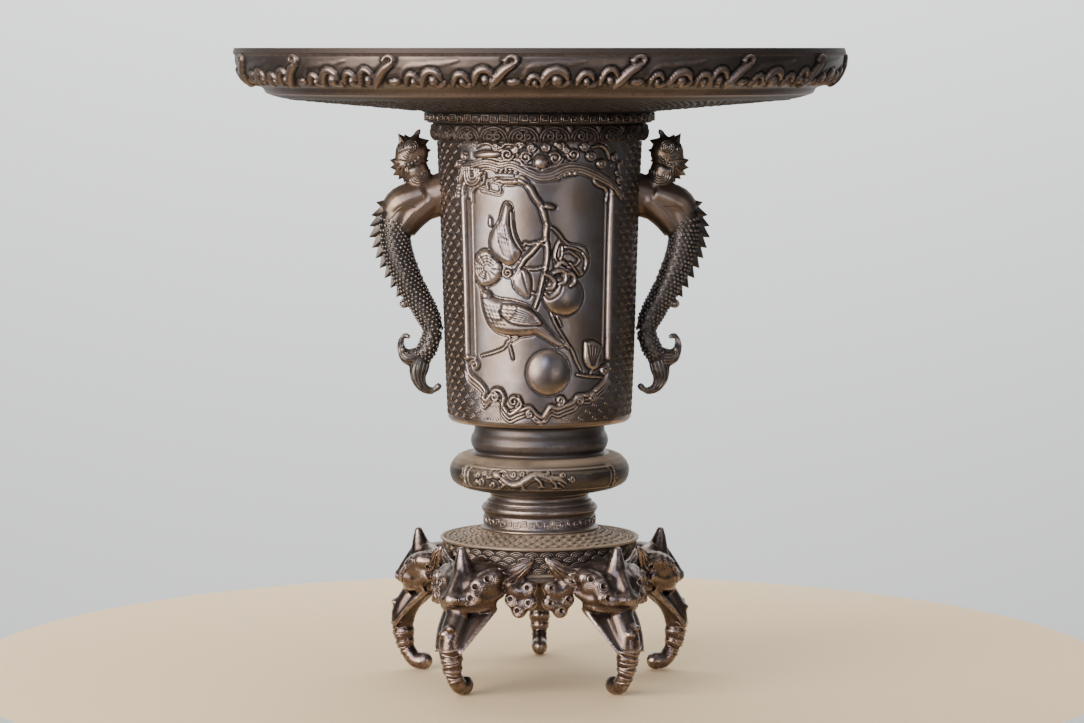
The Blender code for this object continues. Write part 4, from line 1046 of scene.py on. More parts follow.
def head_pits():
    """Where the pits of the brow and beard curls are pressed in, and how wide each curl's shell is."""
    pits = [(head_spot(reach + 2.0, hand * turn, height + 0.4), 5.3)
            for hand in (-1.0, 1.0) for turn, height, reach in BROW_CURLS]
    return pits + [(head_spot(9.0, hand * (turn - 0.5), height + 0.9), 4.2)
                   for hand in (-1.0, 1.0) for turn, height in BEARD_CURLS]


def head_lines(skin_tree, plain_tree):
    """The lines on one head: brow and beard curls, folds, brow stripes, ear ribs and tusk lines."""
    wax = bmesh.new()
    for spot, size in head_pits():
        opening = (230.0, 370.0) if spot[0] > 0.0 else (170.0, 310.0)
        lay_shell(wax, skin_tree, plain_tree, spot, size, *opening)
    for x, y, z, radius in even_line(trunk_course(), 2.5):
        if FOLDED[0] < z < FOLDED[1]:
            lean = 1.5 * math.sin(2.3 * z)
            across = np.radians(np.linspace(-115.0, 115.0, 5) + 28.0 * math.sin(1.7 * z))
            lay_line(wax, skin_tree, [(x + 1.2 * radius * math.sin(a), y - 1.2 * radius * math.cos(a),
                                       z - 1.5 * math.cos(a) + lean * math.sin(a), 0.56 * math.cos(0.5 * a))
                                      for a in across], 0.08)
    for hand in (-1.0, 1.0):
        for step in range(6):
            stripe = ((30, 2.4 + 0.62 * step, 53.4 - 0.2 * step, 0.26),
                      (30, 3.0 + 0.50 * step, 50.8 - 0.1 * step, 0.32), (30, 2.6 + 0.62 * step, 48.4, 0.22))
            lay_line(wax, skin_tree, head_spots(stripe, hand))
        for lift, line in SIDE_LINES:
            lay_line(wax, skin_tree, head_spots(line, hand), lift)
    return wax


head = melted("elephant_head", head_forms(), 0.90, 5, floor=0.0)
plain_tree = tree_of(head)
dent(head, plain_tree, [spot for spot, _ in head_pits()], 1.35, 2.0)
weather(join_forms(head, head_lines(tree_of(head), plain_tree)), rounds=14, reach=0.8)
for number in range(1, LEG_COUNT + 1):
    leg = into_scene(f"elephant_head_{number}", head.data.copy())
    leg.data.transform(Matrix.Rotation(FIRST_LEG_TURN + math.tau * (number - 1) / LEG_COUNT, 4, "Z"))
    dress(leg, FEET, "dark_bronze", f"elephant_leg_{number}")
bpy.data.objects.remove(head)

# %% [markdown]
# The handles are dragon fish: a horned head above, a scaly body with a row of spines down its back, and
# a forked tail that ends in curls. They are cast on their own and touch the wall, and one mirrors the
# other.

# %% Dragon fish handles
# Courses in the handle's own plane: radius from the axis, height and thickness
FISH_BACK = [(70.1, 248.0, 7.9), (75.0, 240.0, 8.1), (75.0, 232.0, 7.9), (73.4, 223.0, 7.8),
             (70.2, 214.1, 7.4), (66.6, 206.0, 6.9), (62.5, 198.5, 6.3), (58.1, 190.5, 5.9),
             (55.4, 183.0, 5.2)]
FISH_TAIL = [(55.4, 183.4, 5.1), (57.6, 175.8, 5.0), (61.2, 169.6, 4.7)]
FISH_FIN = [(60.8, 170.4, 4.6), (62.9, 163.6, 5.3), (63.4, 158.2, 4.2), (61.2, 153.4, 3.0),
            (57.0, 151.2, 2.0), (53.1, 152.8, 1.5)]
FISH_HOOK = [(61.9, 170.2, 4.6), (68.4, 169.0, 4.6), (72.0, 172.8, 2.6), (72.4, 177.6, 1.5),
             (70.8, 180.6, 1.1), (68.8, 180.4, 1.1)]
# Rolls of wax, each with its flatness: arm, tail, fin, hook, shoulder inside and outside, neck and horn
FISH_ROLLS = ((0.72, [(47.8, 255.3, 11.5), (62.7, 249.8, 10.7), (72.8, 243.0, 10.0)]), (1.0, FISH_TAIL),
              (0.62, FISH_FIN), (0.62, FISH_HOOK),
              (0.98, [(56.0, 252.0, 8.6), (66.0, 244.0, 8.6), (71.6, 236.4, 7.6)]),
              (1.1, [(60.0, 254.6, 8.0), (72.0, 250.0, 8.4), (78.0, 243.6, 6.2)]),
              (1.0, [(65.4, 268.3, 7.4), (62.8, 262.2, 6.9), (61.2, 254.6, 7.1)]),
              (1.0, [(65.6, 280.4, 4.4), (64.2, 284.4, 1.9), (63.2, 286.6, 1.3), (61.6, 287.0, 1.3)]))
# Balls of wax, a place and three radii: the tips of fin and hook, a knob, the skull, the jaw and the snout
FISH_BALLS = (((53.0, 153.6), (1.9, 2.0, 1.9)), ((68.6, 179.8), (1.4, 1.5, 1.4)),
              ((70.8, 197.0), (2.5, 3.0, 2.5)), ((66.4, 275.6), (8.8, 6.6, 8.4)),
              ((69.2, 270.6), (6.4, 6.2, 6.0)), ((72.8, 273.2), (2.6, 4.2, 2.4)))
FISH_EYE = (66.4, 279.0)
# Each spine's tip as radius and height, and the degrees that it points up or down, from the top one down
SPINES = ((79.9, 253.5, 25.0), (85.2, 250.0, 14.0), (87.8, 243.2, -12.0), (88.8, 237.6, -22.0),
          (89.0, 231.6, -32.0), (87.5, 226.0, -40.0), (85.7, 220.6, -46.0), (83.6, 215.4, -50.0),
          (81.0, 210.2, -52.0), (78.0, 205.0, -54.0), (74.9, 200.2, -56.0))
SPINE_LENGTH = 12.5
MANE_CENTRE = np.array([66.6, 0.0, 270.0])
MANE_TIPS = ((77.9, 272.0), (77.7, 268.0), (76.3, 264.1), (73.5, 262.0), (70.6, 260.2), (67.3, 257.8))
# Each leaf of the crest, its tip and then its foot
CREST_TIPS = ((73.6, 285.8, 68.0, 278.0), (70.2, 285.4, 66.6, 278.4), (57.2, 282.4, 65.0, 279.4),
              (56.2, 277.2, 64.6, 275.6), (57.6, 271.6, 64.2, 271.8))
# Arcs drawn on each side: centre, radii, first and last degree, thickness of the line
FISH_ARCS = ((FISH_EYE, (4.4, 5.6, 6.8), -75.0, 62.0, 0.5), ((64.4, 273.4), (1.4, 2.6), 200.0, 340.0, 0.4),
             ((62.8, 265.4), (2.0, 3.2, 4.4, 5.6), 165.0, 345.0, 0.5),
             ((74.6, 266.0), (4.0, 5.4, 6.8), 150.0, 240.0, 0.45),
             ((74.2, 278.6), (1.6, 2.9), 130.0, 250.0, 0.4))
# The mouth, the gill and the fold under it
FISH_CURVES = [[(75.6, 271.6, 0.3), (72.0, 272.2, 0.6), (68.6, 271.4, 0.6), (66.0, 271.8, 0.3)],
               [(82.6, 246.0, 0.3), (81.4, 242.6, 0.45), (79.2, 241.2, 0.45), (76.6, 242.6, 0.45),
                (72.8, 247.2, 0.45), (69.2, 248.2, 0.45), (64.4, 247.6, 0.4)],
               [(64.6, 246.2, 0.3), (68.6, 241.4, 0.45), (72.4, 236.6, 0.45), (74.0, 232.8, 0.35)]]


def fish_forms():
    """The masses of the right-hand handle."""
    wax = bmesh.new()
    for flat, sides, course in ((1.0, 18, FISH_BACK), *((flat, 14, course) for flat, course in FISH_ROLLS)):
        tube_form(wax, [(out, 0.0, height, thick) for out, height, thick in course], sides, flat,
                  (0.0, 1.0, 0.0))
    for (out, height), radii in FISH_BALLS:
        ball_form(wax, (out, 0.0, height), radii)
    for side in (-1.0, 1.0):
        ball_form(wax, (FISH_EYE[0], side * 4.8, FISH_EYE[1]), (3.6, 3.4, 3.6))
    return wax


def fish_leaves():
    """Ribbed leaves: the spines down the back, the mane under the jaw, and the crest behind the eye."""
    wax = bmesh.new()
    for out, height, points in SPINES:
        tip = np.array([out, 0.0, height])
        ahead = SPINE_LENGTH * np.array([math.cos(math.radians(points)), 0.0, math.sin(math.radians(points))])
        leaf_form(wax, tip - ahead, tip, 9.6, (0.0, 1.0, 0.0), 3.6)
    for side in (-1.0, 1.0):
        for out, height in MANE_TIPS:
            tip = np.array([out, side * 0.8, height])
            foot = tip + (MANE_CENTRE - tip) * 0.62 + np.array([0.0, side * 4.0, 0.0])
            leaf_form(wax, foot, tip, 6.0, (0.0, side, 0.35), 3.0)
        for out, height, root_out, root_height in CREST_TIPS:
            leaf_form(wax, (root_out, side * 3.4, root_height), (out, side * 0.8, height), 7.0,
                      (0.0, side, 0.0), 3.2)
    return wax


def arc(centre, radius, start, end, thick, count=9):
    """Points of an arc in the handle's plane, as (out, up, thickness)."""
    angles = np.radians(np.linspace(start, end, count))
    return [(centre[0] + radius * math.cos(a), centre[1] + radius * math.sin(a), thick) for a in angles]


def fish_drawing():
    """Every raised line of one side of the handle, in its own plane."""
    lines = [arc(FISH_EYE, size, 0.0, 360.0, 0.5, 15) for size in (1.0, 2.1, 3.2)] + FISH_CURVES
    lines += [arc(centre, size, *rest) for centre, sizes, *rest in FISH_ARCS for size in sizes]
    lines += [[(x, y, thick) for x, y in spiral(centre, *curl, -1.0)]
              for thick, centre, *curl in ((0.5, (70.8, 197.0), 2.2, 1.3, 200.0),
                                           (0.42, (69.8, 171.4), 1.7, 1.2, 90.0))]
    for lobe in (FISH_FIN, FISH_HOOK):
        course = smooth_line(lobe, 4)[2:-2]
        step = np.gradient(course[:, :2], axis=0)
        across = np.stack([-step[:, 1], step[:, 0]], axis=1) / np.hypot(*step.T)[:, None]
        lines += [[(*spot, 0.36) for spot in (course[:, :2] + across * offset * course[:, 2:])[::3]]
                  for offset in (-0.72, -0.36, 0.0, 0.36, 0.72)]
    return lines


def onto_side(skin_tree, line, side):
    """A drawn line thrown straight on to one side of the handle; what misses the handle is left out."""
    shot = Vector((0.0, -side, 0.0))
    found = [(skin_tree.ray_cast(Vector((out, side * 30.0, height)) * MM, shot), thick)
             for out, height, thick in smooth_line(line, 2)]
    return [(*(hit[0] / MM + hit[1] * 0.12), thick) for hit, thick in found if hit[0]]


def fish_lines(skin_tree):
    """The drawing laid on both sides of the handle, and the beads of its teeth, eye and hook."""
    wax = bmesh.new()
    beads = [(69.6 - 1.75 * step, 269.6 + 0.25 * step * step, 0.95) for step in range(5)]
    for side in (-1.0, 1.0):
        for course in (onto_side(skin_tree, line, side) for line in fish_drawing()):
            if len(course) > 3:
                line_form(wax, course)
        for *place, size in onto_side(skin_tree, beads + [(*FISH_EYE, 0.9), (71.4, 173.0, 1.7)], side)[::2]:
            spot, normal, _, _ = skin_tree.find_nearest(Vector(place) * MM)
            ball_form(wax, spot / MM + normal * size * 0.2, (size, size, size), 10)
    return wax


fish = melted("fish", fish_forms(), 0.84)
weather(join_forms(fish, fish_lines(tree_of(fish))), rounds=14, reach=0.6)
join_forms(fish, fish_leaves())
fish.data.set_sharp_from_angle(angle=math.radians(50.0))


# How far apart the fish's scales stand along its body and round it, and the height where they end
SCALE_ROW, SCALE_PITCH, SCALE_TOP = 1.95, 2.5, 241.0


def fish_scale_spots():
    """Staggered places for the small scales, all round the fish's body and down to its tail."""
    course = even_line(smooth_line(FISH_BACK[:-1] + FISH_TAIL, 12), SCALE_ROW)
    along = np.gradient(course[:, :2], axis=0)
    along /= np.hypot(*along.T)[:, None]
    spots = []
    for row, ((out, height, thick), (right, up)) in enumerate(zip(course, along)):
        count = 2 * int(round(math.tau * thick / SCALE_PITCH / 2.0))
        for place in range(count if height <= SCALE_TOP else 0):
            turn = math.tau * (place + 0.5 * (row % 2)) / count
            normal = Vector((up * math.cos(turn), math.sin(turn), -right * math.cos(turn)))
            if normal.x >= -0.88:
                spots.append((tuple(Vector((out, 0.0, height)) + normal * thick * 0.985),
                              tuple(normal.to_track_quat("Z", "Y").to_euler())))
    return spots


fish_scales = grow_pattern("fish_scales", fish_scale_spots(), dome_motif("scale", 1.12, 0.80), GREY, 0.12)
weather(fish_scales, rounds=2, reach=0.55)
for hand_name, hand in (("left", -1.0), ("right", 1.0)):
    for thing, name, nodes in ((fish, "dragon_fish", [f"handle_{hand_name}"]),
                               (fish_scales, "fish_scales", [])):
        piece = into_scene(f"{name}_{hand_name}", thing.data.copy())
        if hand < 0.0:
            piece.data.transform(Matrix.Scale(-1.0, 4, (1.0, 0.0, 0.0)))
            piece.data.flip_normals()
        dress(piece, GREY, "grey_bronze", *nodes)
bpy.data.objects.remove(fish)
bpy.data.objects.remove(fish_scales)

# %% [markdown]
# The dish: a moulded lip, a flank with leaning waves, a step, a nearly flat underside with low studs, a
# fret collar and the well that hangs in the body's mouth.

# %% The dish
DISH_FLANK = [(157.4, 327.0), (157.6, 325.0), (156.9, 321.0), (155.6, 317.6), (153.6, 314.4), (151.2, 312.4),
              (147.4, 311.0), (145.6, 310.3)]
DISH_OUTSIDE = [(158.0, 330.1), (159.0, 329.6), (159.2, 328.6), (158.6, 327.4), (157.5, 326.8),
                (157.0, 325.0), (156.3, 321.0), (155.0, 317.8), (153.0, 314.8), (150.6, 312.9),
                (147.0, 311.2), (144.4, 310.2), (143.3, 309.6), (143.0, 307.6), (141.0, 306.4),
                (133.6, 304.2), (100.0, 301.2), (66.3, 298.2), (60.4, 297.6), (59.6, 297.0), (59.6, 292.0),
                (59.0, 291.6), (46.4, 291.6), (46.4, 227.6), (45.8, 227.2), (0.0, 227.2)]
DISH_INSIDE = [(0.0, 230.2), (43.6, 230.2), (44.2, 230.8), (44.2, 299.6), (45.0, 300.4), (66.0, 301.2),
               (134.0, 307.2), (143.0, 311.4), (149.0, 315.2), (151.8, 320.0), (153.2, 327.0), (154.6, 328.6),
               (155.4, 329.7), (156.6, 330.1)]
CREST_COUNT = 16
FIRST_CREST_TURN = math.radians(-8.0)
FLANK_RADIUS = 155.0

dish_profile = np.vstack([even_line(DISH_OUTSIDE, 3.2), even_line(DISH_INSIDE, 6.0)])
dish_core = turned_body("dish_core", dish_profile, 160)
weather(dish_core, rounds=12, reach=1.2)
# Painted shade: the dish below 306.8 mm, its underside, collar and well, is laid dark as the shade under it,
# and its lip above 326.6 mm is darkened to dim its reflection
darken_evenly(dish_core, 0.85, highest=306.8)
darken_evenly(dish_core, 0.75, lowest=326.6)
dress(dish_core, DARK, "dark_bronze", "dish", sharp=40)

flank_profile = even_line(DISH_FLANK, 0.62)
flank_turns = np.linspace(0.0, math.tau, 1200, endpoint=False)
flank_along = np.degrees(flank_turns) * math.radians(1.0) * FLANK_RADIUS
flank_map = ReliefMap(flank_along, flank_profile[:, 1])
CREST_PITCH = math.tau * FLANK_RADIUS / CREST_COUNT


def wave(chart, foot, luck):
    """One wave of the flank: it leans up to the right, its tip hooks back, and four low waves follow it.

    Each was cut by hand, so luck shifts and stretches the low ones a little.
    """
    rise = 310.6

    def at(*points):
        return [(foot + along, rise + above) for along, above in points]

    chart.stroke(at((-2.6, 1.8), (0.8, 5.0), (5.4, 9.4), (10.8, 12.6)), 4.2, 2.3, 0.45, 0.6)
    chart.stroke(at((10.6, 12.4), (11.2, 14.4), (8.8, 15.5), (6.2, 14.8)), 2.5, 2.1, 0.7, 0.3)
    chart.oval((foot + 5.8, rise + 13.6), 1.6, 1.4, 2.0, groove=0.4)
    chart.oval((foot + 9.0, rise + 3.2), 3.4, 1.4, 1.3, 6.0, groove=0.4)
    chart.stroke(at((13.0, 5.0), (18.0, 10.4), (26.0, 11.4), (36.0, 12.2), (44.0, 13.6)), 3.4, 0.35, 0.3)
    for along, top, size in ((18.6, 6.8, 0.80), (30.4, 8.8, 1.20), (43.6, 7.6, 0.85), (54.4, 9.2, 1.0)):
        along += luck.uniform(-1.2, 1.2)
        top *= luck.uniform(0.86, 1.06)
        size *= luck.uniform(0.86, 1.1)
        arch = ((-5.2, 1.8 / top), (-4.4, 0.5), (-2.2, 0.88), (0.8, 1.0), (3.6, 0.84), (4.8, 0.52))
        chart.stroke(at(*((along + right * size, up * top) for right, up in arch)),
                     3.1 * size, 1.45, 0.35, 0.6)
        chart.oval((foot + along + 0.8 * size, rise + 0.42 * top), 2.1 * size, 1.9 * size, 1.5, groove=0.7)
        chart.stroke(at((along + 1.0, 1.4), (along + 4.4, 1.7), (along + 7.4, 3.6)), 1.8, 0.8, 0.5, 0.3)


for crest in range(-1, CREST_COUNT + 1):
    wave(flank_map, (crest + FIRST_CREST_TURN / (math.tau / CREST_COUNT)) * CREST_PITCH,
         np.random.default_rng(crest % CREST_COUNT))
dish_flank = carved_band("dish_flank", flank_profile, flank_turns, True, flank_map.height, 48, 1.0)
dress(dish_flank, DARK, "dark_bronze")

# %% [markdown]
# The collar under the dish carries a key fret, and its underside rows of low studs. Both are one motif on
# many spots, so the pattern grower sets them.

# %% Collar fret and studs
COLLAR_REACH = 59.6
KEY_COUNT = 72
# The dish's underside: radii and their heights, the step between rows of studs, and along a row
UNDERSIDE = ([66.3, 133.6], [298.2, 304.2])
STUD_ROW, STUD_PITCH = 4.4, 4.8
key_spots = [wall_spot(math.tau * (key + 0.5) / KEY_COUNT, COLLAR_REACH, 294.5, math.pi * (key % 2))
             for key in range(KEY_COUNT)]
collar_key = key_motif("key", math.tau * COLLAR_REACH / KEY_COUNT, 3.5, 0.62, 0.42)
lay_pattern("collar_fret", key_spots, collar_key, DARK, "dark_bronze", 0.5)
stud_spots = []
for reach in np.arange(68.0, 134.0, STUD_ROW):
    count = int(math.tau * reach / STUD_PITCH)
    for stud in range(count):
        turn = math.tau * (stud + reach * 0.618) / count
        stud_spots.append((around(turn, reach, np.interp(reach, *UNDERSIDE)), (math.pi, 0.0, turn)))
low_stud = dome_motif("stud", 2.4, 0.50, shoulder=0.0)
# Painted shade: the studs under the dish are darkened evenly, as the shade there
lay_pattern("underside_studs", stud_spots, low_stud, DARK, "dark_bronze", 0.8, 0.85, unevenness=0.3,
            size=(1.0, 0.8, 1.0))

# %% [markdown]
# The cloud band under the collar repeats one motif twenty-two times: two curls that look at each other
# under a double arch, with a bright wedge between two arches. It is carved once on a small relief map,
# and the map is tiled round the vessel.

# %% Cloud band
CLOUD_COUNT = 22
CLOUD_STEPS = 34
CLOUD_PITCH = math.tau * 55.8 / CLOUD_COUNT
CLOUD_FOOT = 283.4
cloud_profile = even_line(WALL_PROFILE[:5], 0.46)
cloud_map = ReliefMap(np.arange(CLOUD_STEPS) * CLOUD_PITCH / CLOUD_STEPS, cloud_profile[:, 1] - CLOUD_FOOT)
CLOUD_MIDDLE = CLOUD_PITCH / 2.0
for reach, top, width, height in ((7.7, 6.7, 0.9, 0.9), (6.1, 5.4, 0.8, 0.8)):
    arch = ((-1.0, -0.5), (-0.9, 0.42 * top), (-0.6, 0.82 * top), (0.0, top), (0.6, 0.82 * top),
            (0.9, 0.42 * top), (1.0, -0.5))
    cloud_map.stroke([(CLOUD_MIDDLE + share * reach, up) for share, up in arch], width, height, 0.9)
for hand in (-1.0, 1.0):
    cloud_map.stroke(spiral((CLOUD_MIDDLE + hand * 2.3, 2.4), 2.1, 1.3, 90.0, hand), 1.0, 1.2, 0.8, 0.3)
    wedge = ((-2.2, 7.2), (2.2, 7.2), (0.0, 3.4))
    cloud_map.form([(CLOUD_MIDDLE + hand * (CLOUD_MIDDLE + along), up) for along, up in wedge], 1.0, 0.9)
cloud_map.oval((CLOUD_MIDDLE, 0.3), 1.9, 0.7, 0.9)
cloud_turns = np.arange(CLOUD_COUNT * CLOUD_STEPS) * math.tau / (CLOUD_COUNT * CLOUD_STEPS)
cloud_band = carved_band("cloud_band", cloud_profile, cloud_turns, True,
                         np.tile(cloud_map.height, CLOUD_COUNT), 44, 0.8)
# Painted shade: the cloud band lies in the dish's shadow, so it is darkened evenly and wears the dish's
# darker bronze, though its slot is the brown body's
darken_evenly(cloud_band, 0.6)
dress(cloud_band, DARK, "brown_bronze")

# %% [markdown]
# The swollen ring under the neck carries a long cartouche with rounded ends, and in it a dragon that winds
# through clouds; the back has the same cartouche left plainer. Dust has settled on its top. The mesh is
# dense only where it is carved.

# %% The swollen ring
RING_REACH = 47.1
RING_MIDDLE = 109.6
CARTOUCHE_HALF = 42.6
CARTOUCHE_TALL = 5.5
ring_profile = even_line(RING_PROFILE[:-1], 0.6)
ring_turns = np.radians(np.concatenate([np.arange(-62.0, 62.0, 0.5), np.arange(62.0, 118.0, 2.0),
                                        np.arange(118.0, 242.0, 1.0), np.arange(242.0, 298.0, 2.0)]))
ring_down = np.concatenate([[0.0], np.cumsum(np.hypot(*np.diff(ring_profile, axis=0).T))])
ring_up = ring_down[np.argmin(abs(ring_profile[:, 1] - RING_MIDDLE))] - ring_down
ring_map = ReliefMap(ring_turns * RING_REACH, ring_up)


def rounded_box(half_long, half_tall, corner, middle):
    """Points of a box with round corners, closed."""
    points = []
    for start, right, up in ((0.0, 1, 1), (90.0, -1, 1), (180.0, -1, -1), (270.0, 1, -1)):
        for angle in np.radians(np.linspace(start, start + 90.0, 6)):
            points.append((middle + right * (half_long - corner) + corner * math.cos(angle),
                           up * (half_tall - corner) + corner * math.sin(angle)))
    return points + points[:1]


def carve_cartouche(chart, middle):
    """A thin raised frame with a sunk line round it, and a leaf scroll outside each end."""
    chart.etch(rounded_box(CARTOUCHE_HALF + 1.0, CARTOUCHE_TALL + 1.0, 4.4, middle), 1.1, 0.6, smooth=False)
    chart.stroke(rounded_box(CARTOUCHE_HALF, CARTOUCHE_TALL, 3.6, middle), 0.95, 0.55, 1.0)
    for hand in (-1.0, 1.0):
        for along, up, size in ((4.0, 3.6, 1.9), (5.2, 0.0, 1.6), (4.0, -3.6, 1.7)):
            centre = (middle + hand * (CARTOUCHE_HALF + along), up)
            chart.stroke(spiral(centre, size, 1.2, 90.0, hand), 1.1, 0.9, 0.8, 0.3)
        bracket = ((2.2, 6.4), (3.0, 0.0), (2.2, -6.4))
        chart.stroke([(middle + hand * (CARTOUCHE_HALF + along), up) for along, up in bracket], 1.0, 0.7, 0.6)


def carve_dragon(chart):
    """A dragon in the left two thirds of the cartouche: body, head, legs with claws, and clouds."""
    body = [(14.0, -1.6), (10.4, 0.6), (6.2, 1.0), (2.0, 2.4), (-2.4, 2.6), (-6.6, 0.4), (-10.4, -2.2),
            (-14.6, -2.6), (-18.4, -0.4), (-21.6, 2.2)]
    chart.stroke(body, 3.3, 1.3, 0.35, 0.5)
    for start, end in zip(smooth_line(body, 5), smooth_line(body, 5)[1:]):
        step = (end - start) / np.hypot(*(end - start))
        side = np.array([-step[1], step[0]])
        chart.etch([start - side * 1.3, start + step * 0.5, start + side * 1.3], 0.5, 0.35, smooth=False)
        chart.oval(start + side * 1.9, 0.55, 0.5, 0.8)
    chart.oval((-23.0, 2.2), 2.9, 1.9, 1.5, -18.0, groove=0.4)
    chart.stroke([(-24.6, 1.6), (-27.6, 0.6), (-28.8, 1.8)], 1.1, 1.0)
    chart.stroke([(-22.4, 3.4), (-19.6, 4.6), (-17.2, 4.0)], 0.9, 1.0)
    chart.oval((-23.8, 2.8), 0.5, 0.5, 1.9)
    for hip, top, foot, low in ((-17.0, -0.6, -20.4, -3.6), (-11.0, -1.0, -8.4, -4.4), (-2.0, 1.4, 1.2, -2.6),
                                (5.4, 0.6, 8.8, -3.4)):
        chart.stroke([(hip, top), ((hip + foot) / 2.0 + 0.8, (top + low) / 2.0), (foot, low)], 1.5, 1.1, 0.8)
        for toe in (-2.0, -0.6, 0.9, 2.2):
            chart.stroke([(foot, low), (foot + toe * 0.7, low - 0.9), (foot + toe, low - 0.7)], 0.7, 1.0, 0.6)
    for along, up, size in ((-32.6, -1.6, 2.4), (-30.4, 3.0, 1.6), (-34.8, 2.0, 1.6), (-25.6, -2.8, 1.7),
                            (-13.6, 3.0, 1.7), (-8.8, 3.6, 1.4), (12.4, 2.8, 1.5), (17.2, 0.6, 1.7),
                            (-36.4, -2.2, 1.5), (4.6, 3.8, 1.1)):
        chart.stroke(spiral((along, up), size, 1.2, 180.0, 1.0), 0.9, 0.7, 0.8, 0.25)
    for along, up in ((20.0, -1.0), (26.0, 1.4), (31.0, -1.8)):
        chart.oval((along, up), 3.6, 1.5, 0.25, 12.0)


carve_cartouche(ring_map, 0.0)
carve_cartouche(ring_map, math.pi * RING_REACH)
carve_dragon(ring_map)
for along in np.linspace(-30.0, 30.0, 5):
    ring_map.stroke(spiral((math.pi * RING_REACH + along, 0.0), 3.0, 1.3, 0.0, 1.0), 1.3, 0.8, 0.8, 0.3)
swollen_ring = carved_band("swollen_ring", ring_profile, ring_turns, True, ring_map.height, 53, 0.9, rounds=8)
dress(swollen_ring, DUSTY, "brown_bronze")
FOOT_KEY_COUNT = 44
foot_spots = [wall_spot(math.tau * key / FOOT_KEY_COUNT, 29.2, 84.1, math.pi * (key % 2))
              for key in range(FOOT_KEY_COUNT)]
foot_key = key_motif("foot key", 5.1, 3.6, 0.62, 0.45)
lay_pattern("foot_fret", foot_spots, foot_key, BROWN, "brown_bronze", 0.5, size=(0.8, 1.0, 0.8))

# %% [markdown]
# The stand: a low lid that rises to the vase's foot and is covered with rows of small woven lozenges, all
# full of dust, and a drum whose side has rows of wave scales over a double ledge.

# %% The stand
LID_PROFILE = [(0.0, 79.2), (31.6, 79.2), (36.0, 77.6), (40.6, 76.1), (45.2, 74.9), (49.4, 74.2)]
DRUM_OUTSIDE = [(49.8, 74.5), (50.4, 75.3), (51.4, 75.3), (52.1, 74.8), (52.1, 73.8), (50.3, 73.0),
                (50.0, 61.6), (50.6, 61.0), (51.4, 60.6), (51.5, 59.6), (50.9, 59.2), (51.5, 58.8),
                (51.5, 57.7), (46.5, 57.5)]
DRUM_INSIDE = [(46.4, 57.6), (46.4, 70.4), (31.6, 75.6), (0.0, 75.6)]
drum_profile = np.vstack([even_line(LID_PROFILE, 2.0), even_line(DRUM_OUTSIDE, 0.7),
                          even_line(DRUM_INSIDE, 5.0)])
drum = turned_body("drum", drum_profile, 160)
weather(drum, rounds=12, reach=0.6)
# The drum's side, from 57 to 73.4 mm, is made evenly darker and matt
darken_evenly(drum, 0.75, 57.0, 73.4)
dress(drum, DUSTY, "dusty_bronze", "stand", sharp=40)

# Lozenges are 5.7 mm apart along a row and tilt with the lid
LOZENGE_PITCH = 5.7
LID_TILT = 0.32
lozenge_spots = []
for row, reach in enumerate((33.6, 37.3, 41.0, 44.7, 48.2)):
    count = int(round(math.tau * reach / LOZENGE_PITCH))
    height = np.interp(reach, *np.transpose(LID_PROFILE))
    for lozenge in range(count):
        turn = math.tau * (lozenge + 0.5 * (row % 2)) / count
        lozenge_spots.append((around(turn, reach, height), (LID_TILT, 0.0, turn)))
lozenge_form = dome_motif("lozenge", 2.7, 0.75)
lay_pattern("lid_weave", lozenge_spots, lozenge_form, DUSTY, "dusty_bronze", 0.9, unevenness=0.06,
            size=(1.0, 0.66, 1.0))

WAVE_COUNT = 40
DRUM_RADIUS = 50.0
WAVE_ROWS = (61.4, 64.25, 67.1, 69.95)
wave_spots = [wall_spot(math.tau * (scale + 0.5 * (row % 2)) / WAVE_COUNT, DRUM_RADIUS, height)
              for row, height in enumerate(WAVE_ROWS) for scale in range(WAVE_COUNT)]
wave_scale = arch_motif("wave", (3.7, 2.5, 1.3), 0.78, 0.7, 0.82)
lay_pattern("drum_waves", wave_spots, wave_scale, DUSTY, "dusty_bronze", 0.4)

# %% [markdown]
# The front of the wall is one big picture: a frame with a cloud border, a persimmon branch with fruit and
# two birds, and a ribbon with a knot of clouds above. Places in it are given as they were measured in the
# photograph, in degrees round from the front and millimetres up.

# %% Front picture: helpers and frame
PANEL_REACH = 56.0
MM_PER_DEGREE = math.radians(50.5)
wall_profile = even_line(WALL_PROFILE[4:13], 0.45)
panel_turns = np.radians(np.linspace(-PANEL_REACH, PANEL_REACH, 229))
front_map = ReliefMap(np.degrees(panel_turns) * MM_PER_DEGREE, wall_profile[:, 1])


def on_wall(turn, height):
    """A place in degrees and millimetres as millimetres both ways."""
    return turn * MM_PER_DEGREE, height


def flat(points):
    """The same for a row of places."""
    return [on_wall(*point) for point in points]


